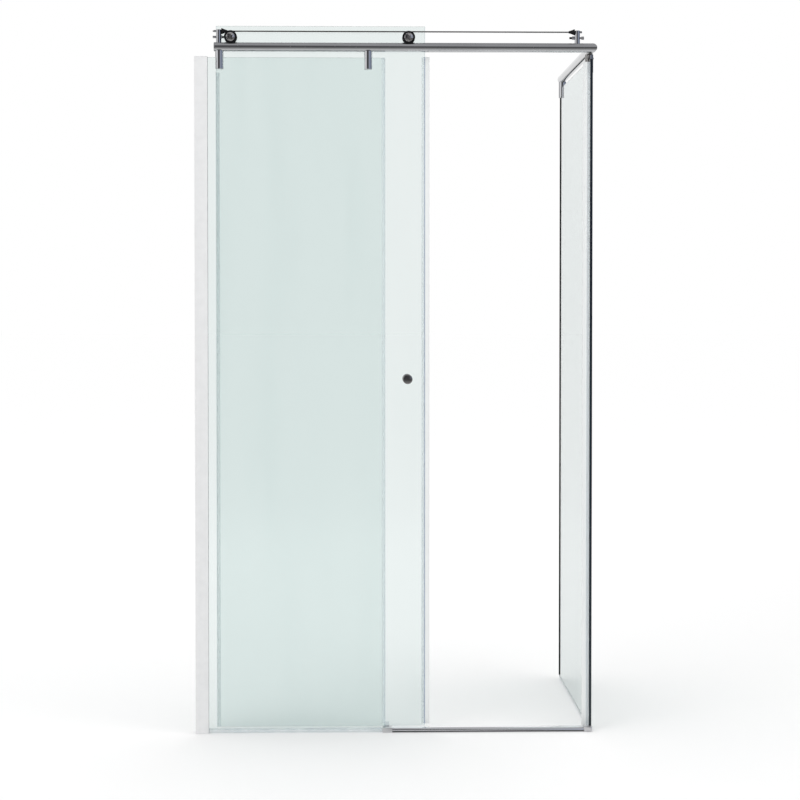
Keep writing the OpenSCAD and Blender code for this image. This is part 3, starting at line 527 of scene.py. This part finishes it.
def makeFinish(name, row):
    look = {**plainFinish, **row}
    material, nodes, place = startMaterial(name)
    sockets = {"Place": place, "Stretch": look["stretch"], "Scale": look["grainScale"]}
    fine, cloud = nodes.add("ShaderNodeGroup", sockets, node_tree=grainGroup).outputs
    drops, film = waterMarks(nodes, place, look)
    light, dark = look["tints"]
    shade = nodes.math("MULTIPLY", cloud, nodes.span(fine, 0.0, 1.0, look["grainShade"], 1.0))
    low, high = look["rough"]
    marks = nodes.math("ADD", nodes.math("MULTIPLY", drops, look["dropRough"]),
                       nodes.math("MULTIPLY", film, look["filmRough"] * (high - low)))
    rough = nodes.math("ADD", nodes.span(fine, 0.0, 1.0, low, high), marks, clamp=True)
    bump = nodes.add("ShaderNodeBump", {
        "Strength": look["bump"], "Distance": look["bumpDepth"] * mm, "Height": fine,
    })
    shader = nodes.add("ShaderNodeBsdfPrincipled", {
        "Base Color": nodes.blendColours(shade, opaque(light), opaque(dark)),
        "Roughness": rough,
        "Metallic": look["metal"],
        "Specular IOR Level": look["gloss"],
        "Normal": bump.outputs[0],
    })
    if "alpha" in look:
        nodes.feed(shader, "Alpha", nodes.span(cloud, 0.0, 1.0, *look["alpha"]))
    nodes.finish("ShaderNodeOutputMaterial", shader)
    return material


paneLook = {
    # each pane's clear tint and its tint under a film of dried water
    "tints": {
        "frontPane": ((0.842, 0.895, 0.887), (0.824, 0.882, 0.874)),
        "sidePane": ((0.725, 0.805, 0.797), (0.708, 0.790, 0.782)),
    },
    "rough": (0.0, 0.012),
    "filmFrom": 0.2,
    "dropScale": 60.0,
    "drops": 0.05,
    "refraction": 1.5,
    "shadowTint": (0.86, 0.89, 0.89),
}


def makePane(name, look):
    material, nodes, place = startMaterial(name)
    _, film = waterMarks(nodes, place, look)
    clear, filmed = look["tints"][name]
    shader = nodes.add("ShaderNodeBsdfPrincipled", {
        "Base Color": nodes.blendColours(film, opaque(clear), opaque(filmed)),
        "Roughness": nodes.span(film, look["filmFrom"], 1.0, *look["rough"]),
        "Metallic": 0.0,
        "IOR": look["refraction"],
        "Transmission Weight": 1.0,
    })
    # shadows behind the glass are only tinted
    tinted = nodes.add("ShaderNodeBsdfTransparent", {"Color": opaque(look["shadowTint"])})
    shadowRay = nodes.add("ShaderNodeLightPath").outputs["Is Shadow Ray"]
    nodes.finish("ShaderNodeOutputMaterial", nodes.mixShaders(shadowRay, shader, tinted))
    return material


materials = {name: makeFinish(name, look) for name, look in finishes.items()}
for name in paneLook["tints"]:
    materials[name] = makePane(name, paneLook)
print("finishes made:", len(materials))


# Helpers for the pieces

mergeLook = {
    # metres between points that become one, in turned shapes and in copies of CAD nodes
    "turned": 1e-7,
    "copied": 1e-6,
    "flat": math.radians(0.4),       # faces that lie flatter than this are joined
}
nutLook = {"rim": 0.94, "chamfer": 0.12}     # parts of the distance from axis to flat


def pointsOf(made):
    return [item for item in made if isinstance(item, bmesh.types.BMVert)]


def cutAcross(bm, place, axis):
    # new edges where a plane meets the shape
    bmesh.ops.bisect_plane(bm, geom=bm.verts[:] + bm.edges[:] + bm.faces[:],
                           plane_co=place, plane_no=axis)


def put(bm, place, axis=xAxis):
    # shapes are drawn along +X and then turned to their own axis
    turn = axis.to_track_quat("X", "Z").to_matrix().to_4x4()
    bmesh.ops.transform(bm, matrix=Matrix.Translation(place) @ turn, verts=bm.verts)
    return bm


def turnedShape(rings, sixSided=(), steps=48, closed=False):
    # rings are pairs of distance along +X and radius in mm; the sixSided ones get flats
    bm = bmesh.new()
    mark = bm.verts.layers.int.new("ring")
    chain = []
    for index, (along, radius) in enumerate(rings):
        vertex = bm.verts.new((along * mm, radius * mm, 0))
        vertex[mark] = index
        chain.append(vertex)
    ends = chain[1:] + chain[:1] if closed else chain[1:]
    edges = [bm.edges.new(pair) for pair in zip(chain, ends)]
    bmesh.ops.spin(
        bm, geom=chain + edges, cent=(0, 0, 0), axis=xAxis, dvec=(0, 0, 0),
        angle=2 * math.pi, steps=steps, use_merge=True
    )
    bmesh.ops.remove_doubles(bm, verts=bm.verts, dist=mergeLook["turned"])
    sixth = math.pi / 3
    for vertex in bm.verts:
        if vertex[mark] in sixSided:
            angle = math.atan2(vertex.co.z, vertex.co.y)
            offFlat = (angle + sixth / 2) % sixth - sixth / 2
            vertex.co.y /= math.cos(offFlat)
            vertex.co.z /= math.cos(offFlat)
    bmesh.ops.recalc_face_normals(bm, faces=bm.faces)
    return bm


def nutShape(length, flat, hole):
    # hexagon nut with chamfered corners
    rim = nutLook["rim"] * flat
    chamfer = nutLook["chamfer"] * flat
    return turnedShape([
        (0, hole), (0, rim), (chamfer, flat), (length - chamfer, flat), (length, rim), (length, hole)
    ], sixSided=(2, 3), closed=True)


def cadShape(node):
    # a merged copy of a CAD node
    bm = bmesh.new()
    bm.from_mesh(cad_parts[node].data)
    bmesh.ops.remove_doubles(bm, verts=bm.verts, dist=mergeLook["copied"])
    return bm


def camelName(node):
    first, *others = node.split("_")
    return first + "".join(word.capitalize() for word in others)


def makePiece(node, shapes, finish, body, name=None, rounding=0.0, steps=2, angle=32):
    # one piece from all its shapes, in place of a CAD node, which it hides
    joined = bmesh.new()
    for shape in shapes:
        part = bpy.data.meshes.new("part")
        shape.to_mesh(part)
        shape.free()
        joined.from_mesh(part)
        bpy.data.meshes.remove(part)
    for face in joined.faces:
        face.smooth = True
    name = name or camelName(node)
    mesh = bpy.data.meshes.new(name)
    joined.to_mesh(mesh)
    joined.free()
    for title in [finish] if isinstance(finish, str) else finish:
        mesh.materials.append(materials[title])
    piece = bpy.data.objects.new(name, mesh)
    bpy.context.scene.collection.objects.link(piece)
    if rounding:
        edge = piece.modifiers.new("softEdges", "BEVEL")
        edge.width = rounding * mm
        edge.segments = steps
        edge.limit_method = "ANGLE"
        edge.angle_limit = math.radians(angle)
        edge.harden_normals = True
    else:
        mesh.set_sharp_from_angle(angle=math.radians(angle))
    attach(piece, body)
    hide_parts(node)


def dress(finish, *nodes):
    # a CAD node that keeps its own mesh gets its finish on the object
    for node in nodes:
        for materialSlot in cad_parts[node].material_slots:
            materialSlot.link = "OBJECT"
            materialSlot.material = materials[finish]


# Glass panes

paneEdges = {
    # node: (body, axis across the pane, its material, finish of its ground edges)
    "fixed_glass": ("frame", yAxis, "frontPane", "paleEdge"),
    "door_glass": ("door", yAxis, "frontPane", "paleEdge"),
    "return_glass": ("frame", xAxis, "sidePane", "glassEdge"),
}


facing = 0.99      # a normal with this part of its length along an axis faces that way


def makeGlass(node, body, across, paneFinish, edgeFinish):
    bm = cadShape(node)
    for face in bm.faces:
        if abs(face.normal.dot(across)) > facing:
            face.material_index = 0
        elif face.normal.z > facing:     # the upper edge is dark, seen down along the pane
            face.material_index = 2
        else:
            face.material_index = 1
    makePiece(node, [bm], [paneFinish, edgeFinish, "topEdge"], body,
              name=node.split("_")[0] + "Pane", angle=20)


for node, row in paneEdges.items():
    makeGlass(node, *row)
print("glass panes made")


# Header rail, elbow and side rail

railLook = {
    "radius": 14.0, "bore": 12.0, "rounding": 0.35, "steps": 96,
    # the end cap, from its face: distance along the rail and radius
    "endCap": (
        (0.6, 0), (0.35, 6), (0, 12.6), (0.5, 13.5), (2, 14), (2, 11.9), (5.5, 11.9), (5.5, 0),
    ),
    "capRounding": 0.25,
}


def makeRails(look):
    radius, bore = look["radius"], look["bore"]
    for node, axis in (("header_rail", xAxis), ("side_rail", yAxis)):
        low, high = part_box(node)
        length = (high - low).dot(axis) / mm
        bm = turnedShape([(0, bore), (0, radius), (length, radius), (length, bore)],
                         steps=look["steps"], closed=True)
        put(bm, middle(node) - axis * (length / 2) * mm, axis)
        makePiece(node, [bm], "polishedChrome", "frame", rounding=look["rounding"])


def makeElbow(look):
    # a circle drawn out to the mitre and on to the side rail
    corner = Vector((middle("side_rail").x, middle("header_rail").y, middle("header_rail").z))
    leg = corner.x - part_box("header_rail")[1].x
    bm = bmesh.new()
    bmesh.ops.create_circle(bm, segments=look["steps"], radius=look["radius"] * mm,
                            matrix=Matrix.Rotation(math.pi / 2, 4, "Y"))
    bmesh.ops.translate(bm, verts=bm.verts, vec=(-leg, 0, 0))
    edges = bm.edges[:]
    for step in ("mitre", "end"):
        made = bmesh.ops.extrude_edge_only(bm, edges=edges)["geom"]
        edges = [item for item in made if isinstance(item, bmesh.types.BMEdge)]
        for vertex in pointsOf(made):
            if step == "mitre":
                vertex.co.x = -vertex.co.y
            else:
                vertex.co.y = leg
    bmesh.ops.holes_fill(bm, edges=[edge for edge in bm.edges if edge.is_boundary])
    bmesh.ops.recalc_face_normals(bm, faces=bm.faces)
    put(bm, corner)
    makePiece("corner_elbow", [bm], "polishedChrome", "frame", rounding=look["rounding"])


def makeRailEnd(look):
    place = middle("rail_end_cap")
    place.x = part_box("rail_end_cap")[0].x
    bm = put(turnedShape(look["endCap"], steps=look["steps"]), place)
    makePiece("rail_end_cap", [bm], "polishedChrome", "frame", rounding=look["capRounding"])


makeRails(railLook)
makeElbow(railLook)
makeRailEnd(railLook)
print("rails made")


# Glass clamps under the rails

clampLook = {
    "radius": 12.5, "drop": 65.0, "saddle": 11.0, "slotHalf": 5.0, "slotTop": 30.0,
    "rounding": 0.9, "steps": 72,
}
clampTable = {
    # node: (direction into the shower, finish); the one under the elbow has the elbow's shade painted
    # into darker chrome
    "rail_clamp_left": (yAxis, "polishedChrome"),
    "rail_clamp_right": (yAxis, "polishedChrome"),
    "side_clamp_front": (-xAxis, "shadedChrome"),
    "side_clamp_rear": (-xAxis, "polishedChrome"),
}


def clampShape(look, inward):
    # drawn about the rail axis with the glass slot along X
    bm = bmesh.new()
    half = look["slotHalf"] * mm
    bmesh.ops.create_circle(bm, cap_ends=True, segments=look["steps"], radius=look["radius"] * mm)
    for side in (-half, half):
        cutAcross(bm, yAxis * side, yAxis)
    bmesh.ops.translate(bm, verts=bm.verts, vec=(0, 0, -look["saddle"] * mm))
    made = bmesh.ops.extrude_face_region(bm, geom=bm.faces[:])["geom"]
    bmesh.ops.translate(bm, verts=pointsOf(made),
                        vec=(0, 0, (look["saddle"] - look["slotTop"]) * mm))
    cheeks = [
        item for item in made
        if isinstance(item, bmesh.types.BMFace) and abs(item.calc_center_median().y) > half
    ]
    made = bmesh.ops.extrude_face_region(bm, geom=cheeks)["geom"]
    bmesh.ops.translate(bm, verts=pointsOf(made),
                        vec=(0, 0, (look["slotTop"] - look["drop"]) * mm))
    bmesh.ops.delete(bm, geom=cheeks, context="FACES_ONLY")
    bmesh.ops.recalc_face_normals(bm, faces=bm.faces)
    if inward != yAxis:
        bmesh.ops.rotate(bm, verts=bm.verts, matrix=Matrix.Rotation(math.pi / 2, 3, "Z"))
    return bm


def underRail(node, below):
    # the place of a clamp, at a distance below the axis of the rails
    place = middle(node)
    place.z = middle("header_rail").z - below * mm
    return place


def makeClamps(look):
    for node, (inward, finish) in clampTable.items():
        bm = clampShape(look, inward)
        bmesh.ops.translate(bm, verts=bm.verts, vec=underRail(node, 0))
        makePiece(node, [bm], finish, "frame", rounding=look["rounding"], steps=3)


screwLook = {
    # profiles are pairs of distance along the screw and radius; flats are a socket's rings
    "glass": {
        "profile": ((0, 0), (0, 2.9), (6.5, 2.9), (6.5, 1.5), (3.3, 1.5), (3.3, 0)),
        "flats": (3, 4), "below": 48, "inward": 5, "rounding": 0.2,
    },
    "lock": {
        "profile": (
            (-3, 0), (-3, 2), (0, 2), (0, 4.2), (1.3, 3.948), (2.21, 2.94), (2.6, 1.764),
            (2.6, 1.3), (1.04, 1.3), (1.04, 0),
        ),
        "flats": (7, 8), "below": 23, "outward": 11.3, "rounding": 0.2,
    },
    "wall": {
        "profile": (
            (-5, 0), (-5, 1.9), (0, 1.9), (0, 3.8), (1.1, 3.534), (1.98, 2.356), (2.2, 1.52),
            (2.2, 1.25), (0.66, 1.25), (0.66, 0),
        ),
        "flats": (7, 8), "head": 3.8, "rise": 2.2, "spacing": 700, "count": 3, "rounding": 0.15,
    },
}


def makeClampScrews(look):
    # socket screws that press the rubber on the glass, on the inner side
    glass, lock, wall = look["glass"], look["lock"], look["wall"]
    shapes = []
    for node, (inward, _) in clampTable.items():
        bm = turnedShape(glass["profile"], sixSided=glass["flats"])
        start = underRail(node, glass["below"]) + inward * glass["inward"] * mm
        shapes.append(put(bm, start, inward))
    makePiece("clamp_screws", shapes, "steel", "frame", rounding=glass["rounding"])

    # domed screws on the outer side of the side clamps
    shapes = []
    for node in ("side_clamp_front", "side_clamp_rear"):
        bm = turnedShape(lock["profile"], sixSided=lock["flats"])
        start = underRail(node, lock["below"]) + xAxis * lock["outward"] * mm
        shapes.append(put(bm, start))
    makePiece("lock_screws", shapes, "polishedChrome", "frame", rounding=lock["rounding"])

    # screws on the inner face of the wall profile, from the lowest up
    low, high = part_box("profile_screws")
    shapes = []
    for step in range(wall["count"]):
        bm = turnedShape(wall["profile"], sixSided=wall["flats"])
        height = low.z + (wall["head"] + step * wall["spacing"]) * mm
        start = Vector(((low.x + high.x) / 2, high.y - wall["rise"] * mm, height))
        shapes.append(put(bm, start, yAxis))
    makePiece("profile_screws", shapes, "steel", "frame", rounding=wall["rounding"])


makeClamps(clampLook)
makeClampScrews(screwLook)
print("clamps made")


# Stops, guard rod and rubber cones

stopLook = {
    "post": {"radius": 8.0, "stud": 4.0, "sunk": 3.0, "steps": 64, "rounding": 1.0},
    "screw": {
        "radius": 2.5, "rounding": 0.3,
        # a plain socket head at the left, a thumb head with a neck at the right
        "leftHead": 3.75, "leftReach": 3.0, "leftSocket": 1 / 2,
        "rightHead": 5.0, "rightReach": 8.0, "rightSocket": 1 / 3,
        "neck": 3.3, "neckFrom": (0.66, 0.7),
    },
    "nut": {"flat": 4.5, "left": 3.0, "right": 8.0, "rounding": 0.15},
    # the rounded end of a rubber tip: mm from its end and parts of its radius
    "tip": {"radius": 3.2, "left": 4.7, "right": 7.7, "steps": 32,
            "end": ((-1.4, 1.0), (-0.4, 0.8), (0, 0.4), (0, 0))},
}


def makePosts(look):
    post = look["post"]
    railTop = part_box("header_rail")[1].z
    for node in ("stop_post_left", "stop_post_right"):
        low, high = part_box(node)
        length = (high.z - low.z) / mm
        sunk = (railTop - low.z) / mm - post["sunk"]
        bm = turnedShape([
            (0, 0), (0, post["stud"]), (sunk, post["stud"]), (sunk, post["radius"]),
            (length, post["radius"]), (length, 0)
        ], steps=post["steps"])
        place = middle(node)
        place.z = low.z
        put(bm, place, zAxis)
        makePiece(node, [bm], "polishedChrome", "frame", rounding=post["rounding"], steps=3)


def makeStopScrews(look):
    screw, nut, tip = look["screw"], look["nut"], look["tip"]
    low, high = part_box("stop_screws")
    left, right = middle("stop_post_left"), middle("stop_post_right")
    left.z = right.z = (low.z + high.z) / 2
    radius, thread = look["post"]["radius"], screw["radius"]

    head = (left.x - low.x) / mm - radius
    reach = head + 2 * radius + screw["leftReach"]
    size, deep = screw["leftHead"], head * screw["leftSocket"]
    first = turnedShape([
        (deep, 0), (deep, size / 2), (0, size / 2), (0, size), (head, size), (head, thread),
        (reach, thread), (reach, 0)
    ], sixSided=(1, 2))
    put(first, Vector((low.x, left.y, left.z)))
    head = (high.x - right.x) / mm - radius
    reach = head + 2 * radius + screw["rightReach"]
    size, deep = screw["rightHead"], head * screw["rightSocket"]
    slope, neck = [head * part for part in screw["neckFrom"]], screw["neck"]
    second = turnedShape([
        (deep, 0), (deep, size / 2), (0, size / 2), (0, size), (slope[0], size),
        (slope[1], neck), (head, neck), (head, thread), (reach, thread), (reach, 0)
    ], sixSided=(1, 2))
    put(second, Vector((high.x, right.y, right.z)), -xAxis)
    makePiece("stop_screws", [first, second], "polishedChrome", "frame",
              rounding=screw["rounding"])

    nuts = []
    tips = []
    for post, axis, side in ((left, xAxis, "left"), (right, -xAxis, "right")):
        start = post + axis * radius * mm
        nuts.append(put(nutShape(nut[side], nut["flat"], thread), start, axis))
        rings = [(0, 0), (0, tip["radius"])]
        rings += [(tip[side] + back, part * tip["radius"]) for back, part in tip["end"]]
        bm = turnedShape(rings, steps=tip["steps"])
        tips.append(put(bm, start + axis * nut[side] * mm, axis))
    makePiece("stop_nuts", nuts, "satinChrome", "frame", rounding=nut["rounding"])
    makePiece("stop_tips", tips, "blackRubber", "frame", angle=50)


rodLook = {
    "radius": 2.0, "chamfer": 0.4, "steps": 32,
    "nutFlat": 3.0, "nutLength": 6.0, "nutRounding": 0.15,
    # the rubber cones: radius at both ends, the rim and the place of the waist
    "wide": 9.0, "narrow": 3.0, "rim": 1.4, "waistAt": 0.55, "waistShare": 0.4,
    "coneSteps": 48, "coneRounding": 0.5,
}


def makeGuardRod(look):
    low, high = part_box("guard_rod")
    start = Vector((low.x, (low.y + high.y) / 2, (low.z + high.z) / 2))
    length = (high.x - low.x) / mm
    rod, chamfer = look["radius"], look["chamfer"]
    bm = turnedShape([
        (0, 0), (0, rod - chamfer), (chamfer, rod), (length - chamfer, rod),
        (length, rod - chamfer), (length, 0)
    ], steps=look["steps"])
    makePiece("guard_rod", [put(bm, start)], "rodSteel", "frame", angle=50)

    nutLow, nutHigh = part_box("rod_nuts")
    nuts = []
    for place in (nutLow.x, nutHigh.x - look["nutLength"] * mm):
        start.x = place
        nuts.append(put(nutShape(look["nutLength"], look["nutFlat"], rod), start))
    makePiece("rod_nuts", nuts, "polishedChrome", "frame", rounding=look["nutRounding"])


def makeCones(look):
    wide, narrow, rod = look["wide"], look["narrow"], look["radius"]
    waist = narrow + look["waistShare"] * (wide - narrow)
    start = middle("guard_rod")
    for node, axis in (("rod_buffer_left", xAxis), ("rod_buffer_right", -xAxis)):
        low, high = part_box(node)
        length = (high.x - low.x) / mm
        start.x = low.x if axis == xAxis else high.x
        bm = turnedShape([
            (0, rod), (0, wide), (look["rim"], wide), (look["waistAt"] * length, waist),
            (length, narrow), (length, rod)
        ], steps=look["coneSteps"], closed=True)
        makePiece(node, [put(bm, start, axis)], "blackRubber", "frame",
                  rounding=look["coneRounding"])


makePosts(stopLook)
makeStopScrews(stopLook)
makeGuardRod(rodLook)
makeCones(rodLook)
print("stops and guard rod made")


# Rollers: wheel, bush, hub cap and axle

rollerLook = {
    # the groove follows the rail's own radius, with a little room
    "rail": 14.0, "rollRadius": 15.0, "gap": 0.3, "flange": 19.0, "half": 12.0,
    "recess": 12.5, "recessDepth": 6.0, "bush": 8.0, "arcSteps": 14,
    "rounding": 0.5, "steps": 96,
}
capLook = {
    "radius": 15.0, "height": 3.6, "flat": 2.4, "sphere": 26.0, "sunk": 2.0, "floor": -0.4,
    "plug": (12.4, 11.4),           # radius outside and inside
    "blackRim": 13.3,
    # radii on the dome, from the rim to the groove, in it and on to the middle
    "rimRings": (15.0, 14.2, 13.6, 13.0),
    "grooveRings": (12.8, 12.4),
    "grooveDepth": 0.3,
    "domeRings": (12.2, 11.0, 9.5, 8.0, 6.5, 5.0, 3.7, 2.4, 1.2, 0.0),
    "rounding": 0.35,
}
axleLook = {
    # profiles from the wheel's middle towards the back: distance and radius
    "axle": (
        (-10.3, 0), (-10.3, 8), (-7.8, 8), (-7.8, 4), (12.3, 4), (12.3, 9), (17, 9), (17, 4),
        (34, 4), (34, 0),
    ),
    "nut": (
        (0, 0), (0, 6.1), (0.8, 6.5), (5.3, 6.5), (6, 6.05), (7.8, 5.75), (9.4, 4.95),
        (10.8, 3.5), (11.7, 1.7), (12, 0),
    ),
    "nutFlats": (2, 3),
    "washer": ((0, 4), (0, 11), (1, 11), (1, 4)),
    "washerThick": 1.0,
    "axleRounding": 0.4, "nutRounding": 0.15, "washerRounding": 0.25,
}


def wheelShape(look):
    half, flange = look["half"], look["flange"]
    centre = look["rollRadius"] + look["rail"]
    groove = look["rail"] + look["gap"]
    reach = math.asin(math.sqrt(groove ** 2 - (centre - flange) ** 2) / groove)
    arc = []
    for step in range(look["arcSteps"] + 1):
        angle = -reach + 2 * reach * step / look["arcSteps"]
        arc.append((groove * math.sin(angle), centre - groove * math.cos(angle)))
    floor = look["recessDepth"] - half
    return turnedShape(
        [(-half, look["recess"]), (-half, flange)] + arc + [
            (half, flange), (half, look["bush"]), (floor, look["bush"]), (floor, look["recess"])
        ], steps=look["steps"], closed=True)


def capShape(look, steps):
    # domed cap with a fine groove near its black rim
    def dome(radius, sunk=0.0):
        out = max(radius - look["flat"], 0.0)
        rise = math.sqrt(look["sphere"] ** 2 - out ** 2)
        return (look["height"] - look["sphere"] + rise - sunk, radius)

    outside, inside = look["plug"]
    rings = [(-look["sunk"], inside), (-look["sunk"], outside), (0, outside), (0, look["radius"])]
    rings += [dome(radius) for radius in look["rimRings"]]
    rings += [dome(radius, look["grooveDepth"]) for radius in look["grooveRings"]]
    rings += [dome(radius) for radius in look["domeRings"]]
    rings += [(look["floor"], 0.0), (look["floor"], inside)]
    bm = turnedShape(rings, steps=steps, closed=True)
    for face in bm.faces:
        reach = max(math.hypot(vertex.co.y, vertex.co.z) for vertex in face.verts)
        face.material_index = 1 if reach > look["blackRim"] * mm else 0
    return bm


def makeRollers(look, cap, axle):
    for side in ("left", "right"):
        body = "roller_" + side
        centre = middle("wheel_" + side)
        wheel = put(wheelShape(look), centre, yAxis)
        makePiece("wheel_" + side, [wheel], "blackNylon", body, rounding=look["rounding"], steps=3)
        bm = put(capShape(cap, look["steps"]), centre - yAxis * look["half"] * mm, -yAxis)
        # the caps' chrome carries a painted mottle of light and dark reflections
        makePiece("hub_cap_" + side, [bm], ["capChromePaintedReflection", "blackNylon"], body,
                  rounding=cap["rounding"], angle=40)
        bm = put(turnedShape(axle["axle"]), centre, yAxis)
        makePiece("roller_axle_" + side, [bm], "polishedChrome", "door",
                  rounding=axle["axleRounding"])
    dress("whiteAcetal", "bearing_left", "bearing_right")


def makeAxleNuts(look):
    low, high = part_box("axle_washers")
    nuts = []
    washers = []
    for side in ("left", "right"):
        place = middle("wheel_" + side)
        place.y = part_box("axle_nuts")[0].y
        nuts.append(put(turnedShape(look["nut"], sixSided=look["nutFlats"]), place, yAxis))
        # one washer on each side of the glass
        for start in (low.y, high.y - look["washerThick"] * mm):
            place.y = start
            washers.append(put(turnedShape(look["washer"], steps=64, closed=True), place, yAxis))
    makePiece("axle_nuts", nuts, "polishedChrome", "door", rounding=look["nutRounding"], angle=25)
    makePiece("axle_washers", washers, "clearNylon", "door", rounding=look["washerRounding"])
    dress("clearNylon", "axle_bushings")


makeRollers(rollerLook, capLook, axleLook)
makeAxleNuts(axleLook)
print("rollers made")


# Knobs on both sides of the sliding glass

knobLook = {
    "base": 10.8, "baseDepth": 1.0, "radius": 14.5, "length": 29.0,
    # the waist is a hollow round of its own radius, in steps along the knob
    "waistFrom": 1.2, "waistTo": 17.0, "waistRadius": 11.0, "waistAt": 9.0, "waistDepth": 4.0,
    "waistSteps": 12,
    # the face is slightly crowned, inside a chamfered rim
    "neckEnd": 17.6, "chamfer": 1.0, "crown": 1.2, "crownRadius": 13.2, "crownSteps": 8,
    "steps": 96, "rounding": 0.6,
}


def knobShape(look):
    radius, length = look["radius"], look["length"]
    rings = [(0, 0), (0, look["base"]), (look["baseDepth"], look["base"])]
    waist, span = look["waistRadius"], look["waistTo"] - look["waistFrom"]
    for step in range(look["waistSteps"] + 1):
        along = look["waistFrom"] + span * step / look["waistSteps"]
        curve = math.sqrt(waist ** 2 - (along - look["waistAt"]) ** 2)
        rings.append((along, min(radius, radius + waist - look["waistDepth"] - curve)))
    crown, out = look["crown"], look["crownRadius"]
    rim = length - crown
    rings += [(look["neckEnd"], radius), (rim - look["chamfer"], radius), (rim, out)]
    sphere = (out ** 2 + crown ** 2) / (2 * crown)
    for step in range(1, look["crownSteps"] + 1):
        ring = out * (1 - step / look["crownSteps"])
        rings.append((length - sphere + math.sqrt(sphere ** 2 - ring ** 2), ring))
    return turnedShape(rings, steps=look["steps"])


def makeKnobs(look):
    for node, axis in (("knob_front", -yAxis), ("knob_rear", yAxis)):
        low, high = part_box(node)
        start = middle(node)
        start.y = low.y if axis == yAxis else high.y
        bm = put(knobShape(look), start, axis)
        makePiece(node, [bm], "darkChrome", "door", rounding=look["rounding"], steps=3, angle=40)
    dress("steel", "knob_stud")
    dress("clearNylon", "knob_washers")


makeKnobs(knobLook)
print("knobs made")


# Extruded pieces: wall profile, seals, threshold and blocks

extrudedPieces = {
    # node: (finish, body, rounding in mm)
    "wall_profile": ("whiteEnamel", "frame", 0.5),
    "profile_cap": ("whiteEnamel", "frame", 0.5),
    "glazing_gasket": ("greyRubber", "frame", 0.4),
    "fixed_edge_seal": ("clearSeal", "frame", 0.25),
    "fixed_bottom_seal": ("clearSeal", "frame", 0.3),
    "strike_profile": ("strikeSeal", "frame", 0.3),
    "return_wall_seal": ("blackRubber", "frame", 0.5),
    "return_bottom_seal": ("clearSeal", "frame", 0.3),
    "door_leading_seal": ("clearSeal", "door", 0.25),
    "door_trailing_seal": ("clearSeal", "door", 0.25),
    "threshold_bar": ("polishedChrome", "frame", 0.5),
    "guide_block": ("satinChrome", "frame", 0.6),
    "corner_block": ("satinChrome", "frame", 0.8),
    "guide_jaws": ("clearSeal", "frame", 0.5),
    "clamp_pads": ("blackRubber", "frame", 0.2),
}
secondFinishes = {
    # node: axis, then the finishes further along it, each with the depth in mm below the
    # far side at which it starts
    "door_leading_seal": (xAxis, (("blueWeb", 15.4), ("whiteNose", 12.6))),
    "strike_profile": (-xAxis, (("whiteNose", 12.0),)),
    # painted reflections on the threshold bar: a dark band at mid height and a highlight on all above
    # it
    "threshold_bar": (zAxis, (("blackChrome", 12.6), ("brightChrome", 8.5))),
}


def splitFinish(bm, node, finish):
    # cuts a shape across its axis where a further finish starts, and gives all the finishes
    axis, parts = secondFinishes[node]
    low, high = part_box(node)
    finishList = [finish]
    for further, depth in parts:
        edge = max(low.dot(axis), high.dot(axis)) - depth * mm
        cutAcross(bm, axis * edge, axis)
        for face in bm.faces:
            if face.calc_center_median().dot(axis) > edge:
                face.material_index = len(finishList)
        finishList.append(further)
    return finishList


def makeExtrudedPieces(table):
    for node, (finish, body, rounding) in table.items():
        bm = cadShape(node)
        # flat faces are made whole again, so that the roundings run along true edges
        bmesh.ops.dissolve_limit(bm, angle_limit=mergeLook["flat"], verts=bm.verts,
                                 edges=bm.edges, delimit={"NORMAL"})
        if node in secondFinishes:
            finish = splitFinish(bm, node, finish)
        makePiece(node, [bm], finish, body, rounding=rounding, steps=3)


makeExtrudedPieces(extrudedPieces)
dress("magnetRubber", "strike_magnet", "door_magnet")
dress("rawAluminium", "wall_channel", "side_rail_plug")
dress("steel", "rail_grub_screws", "rail_studs", "stud_nuts")
print("extruded pieces made")
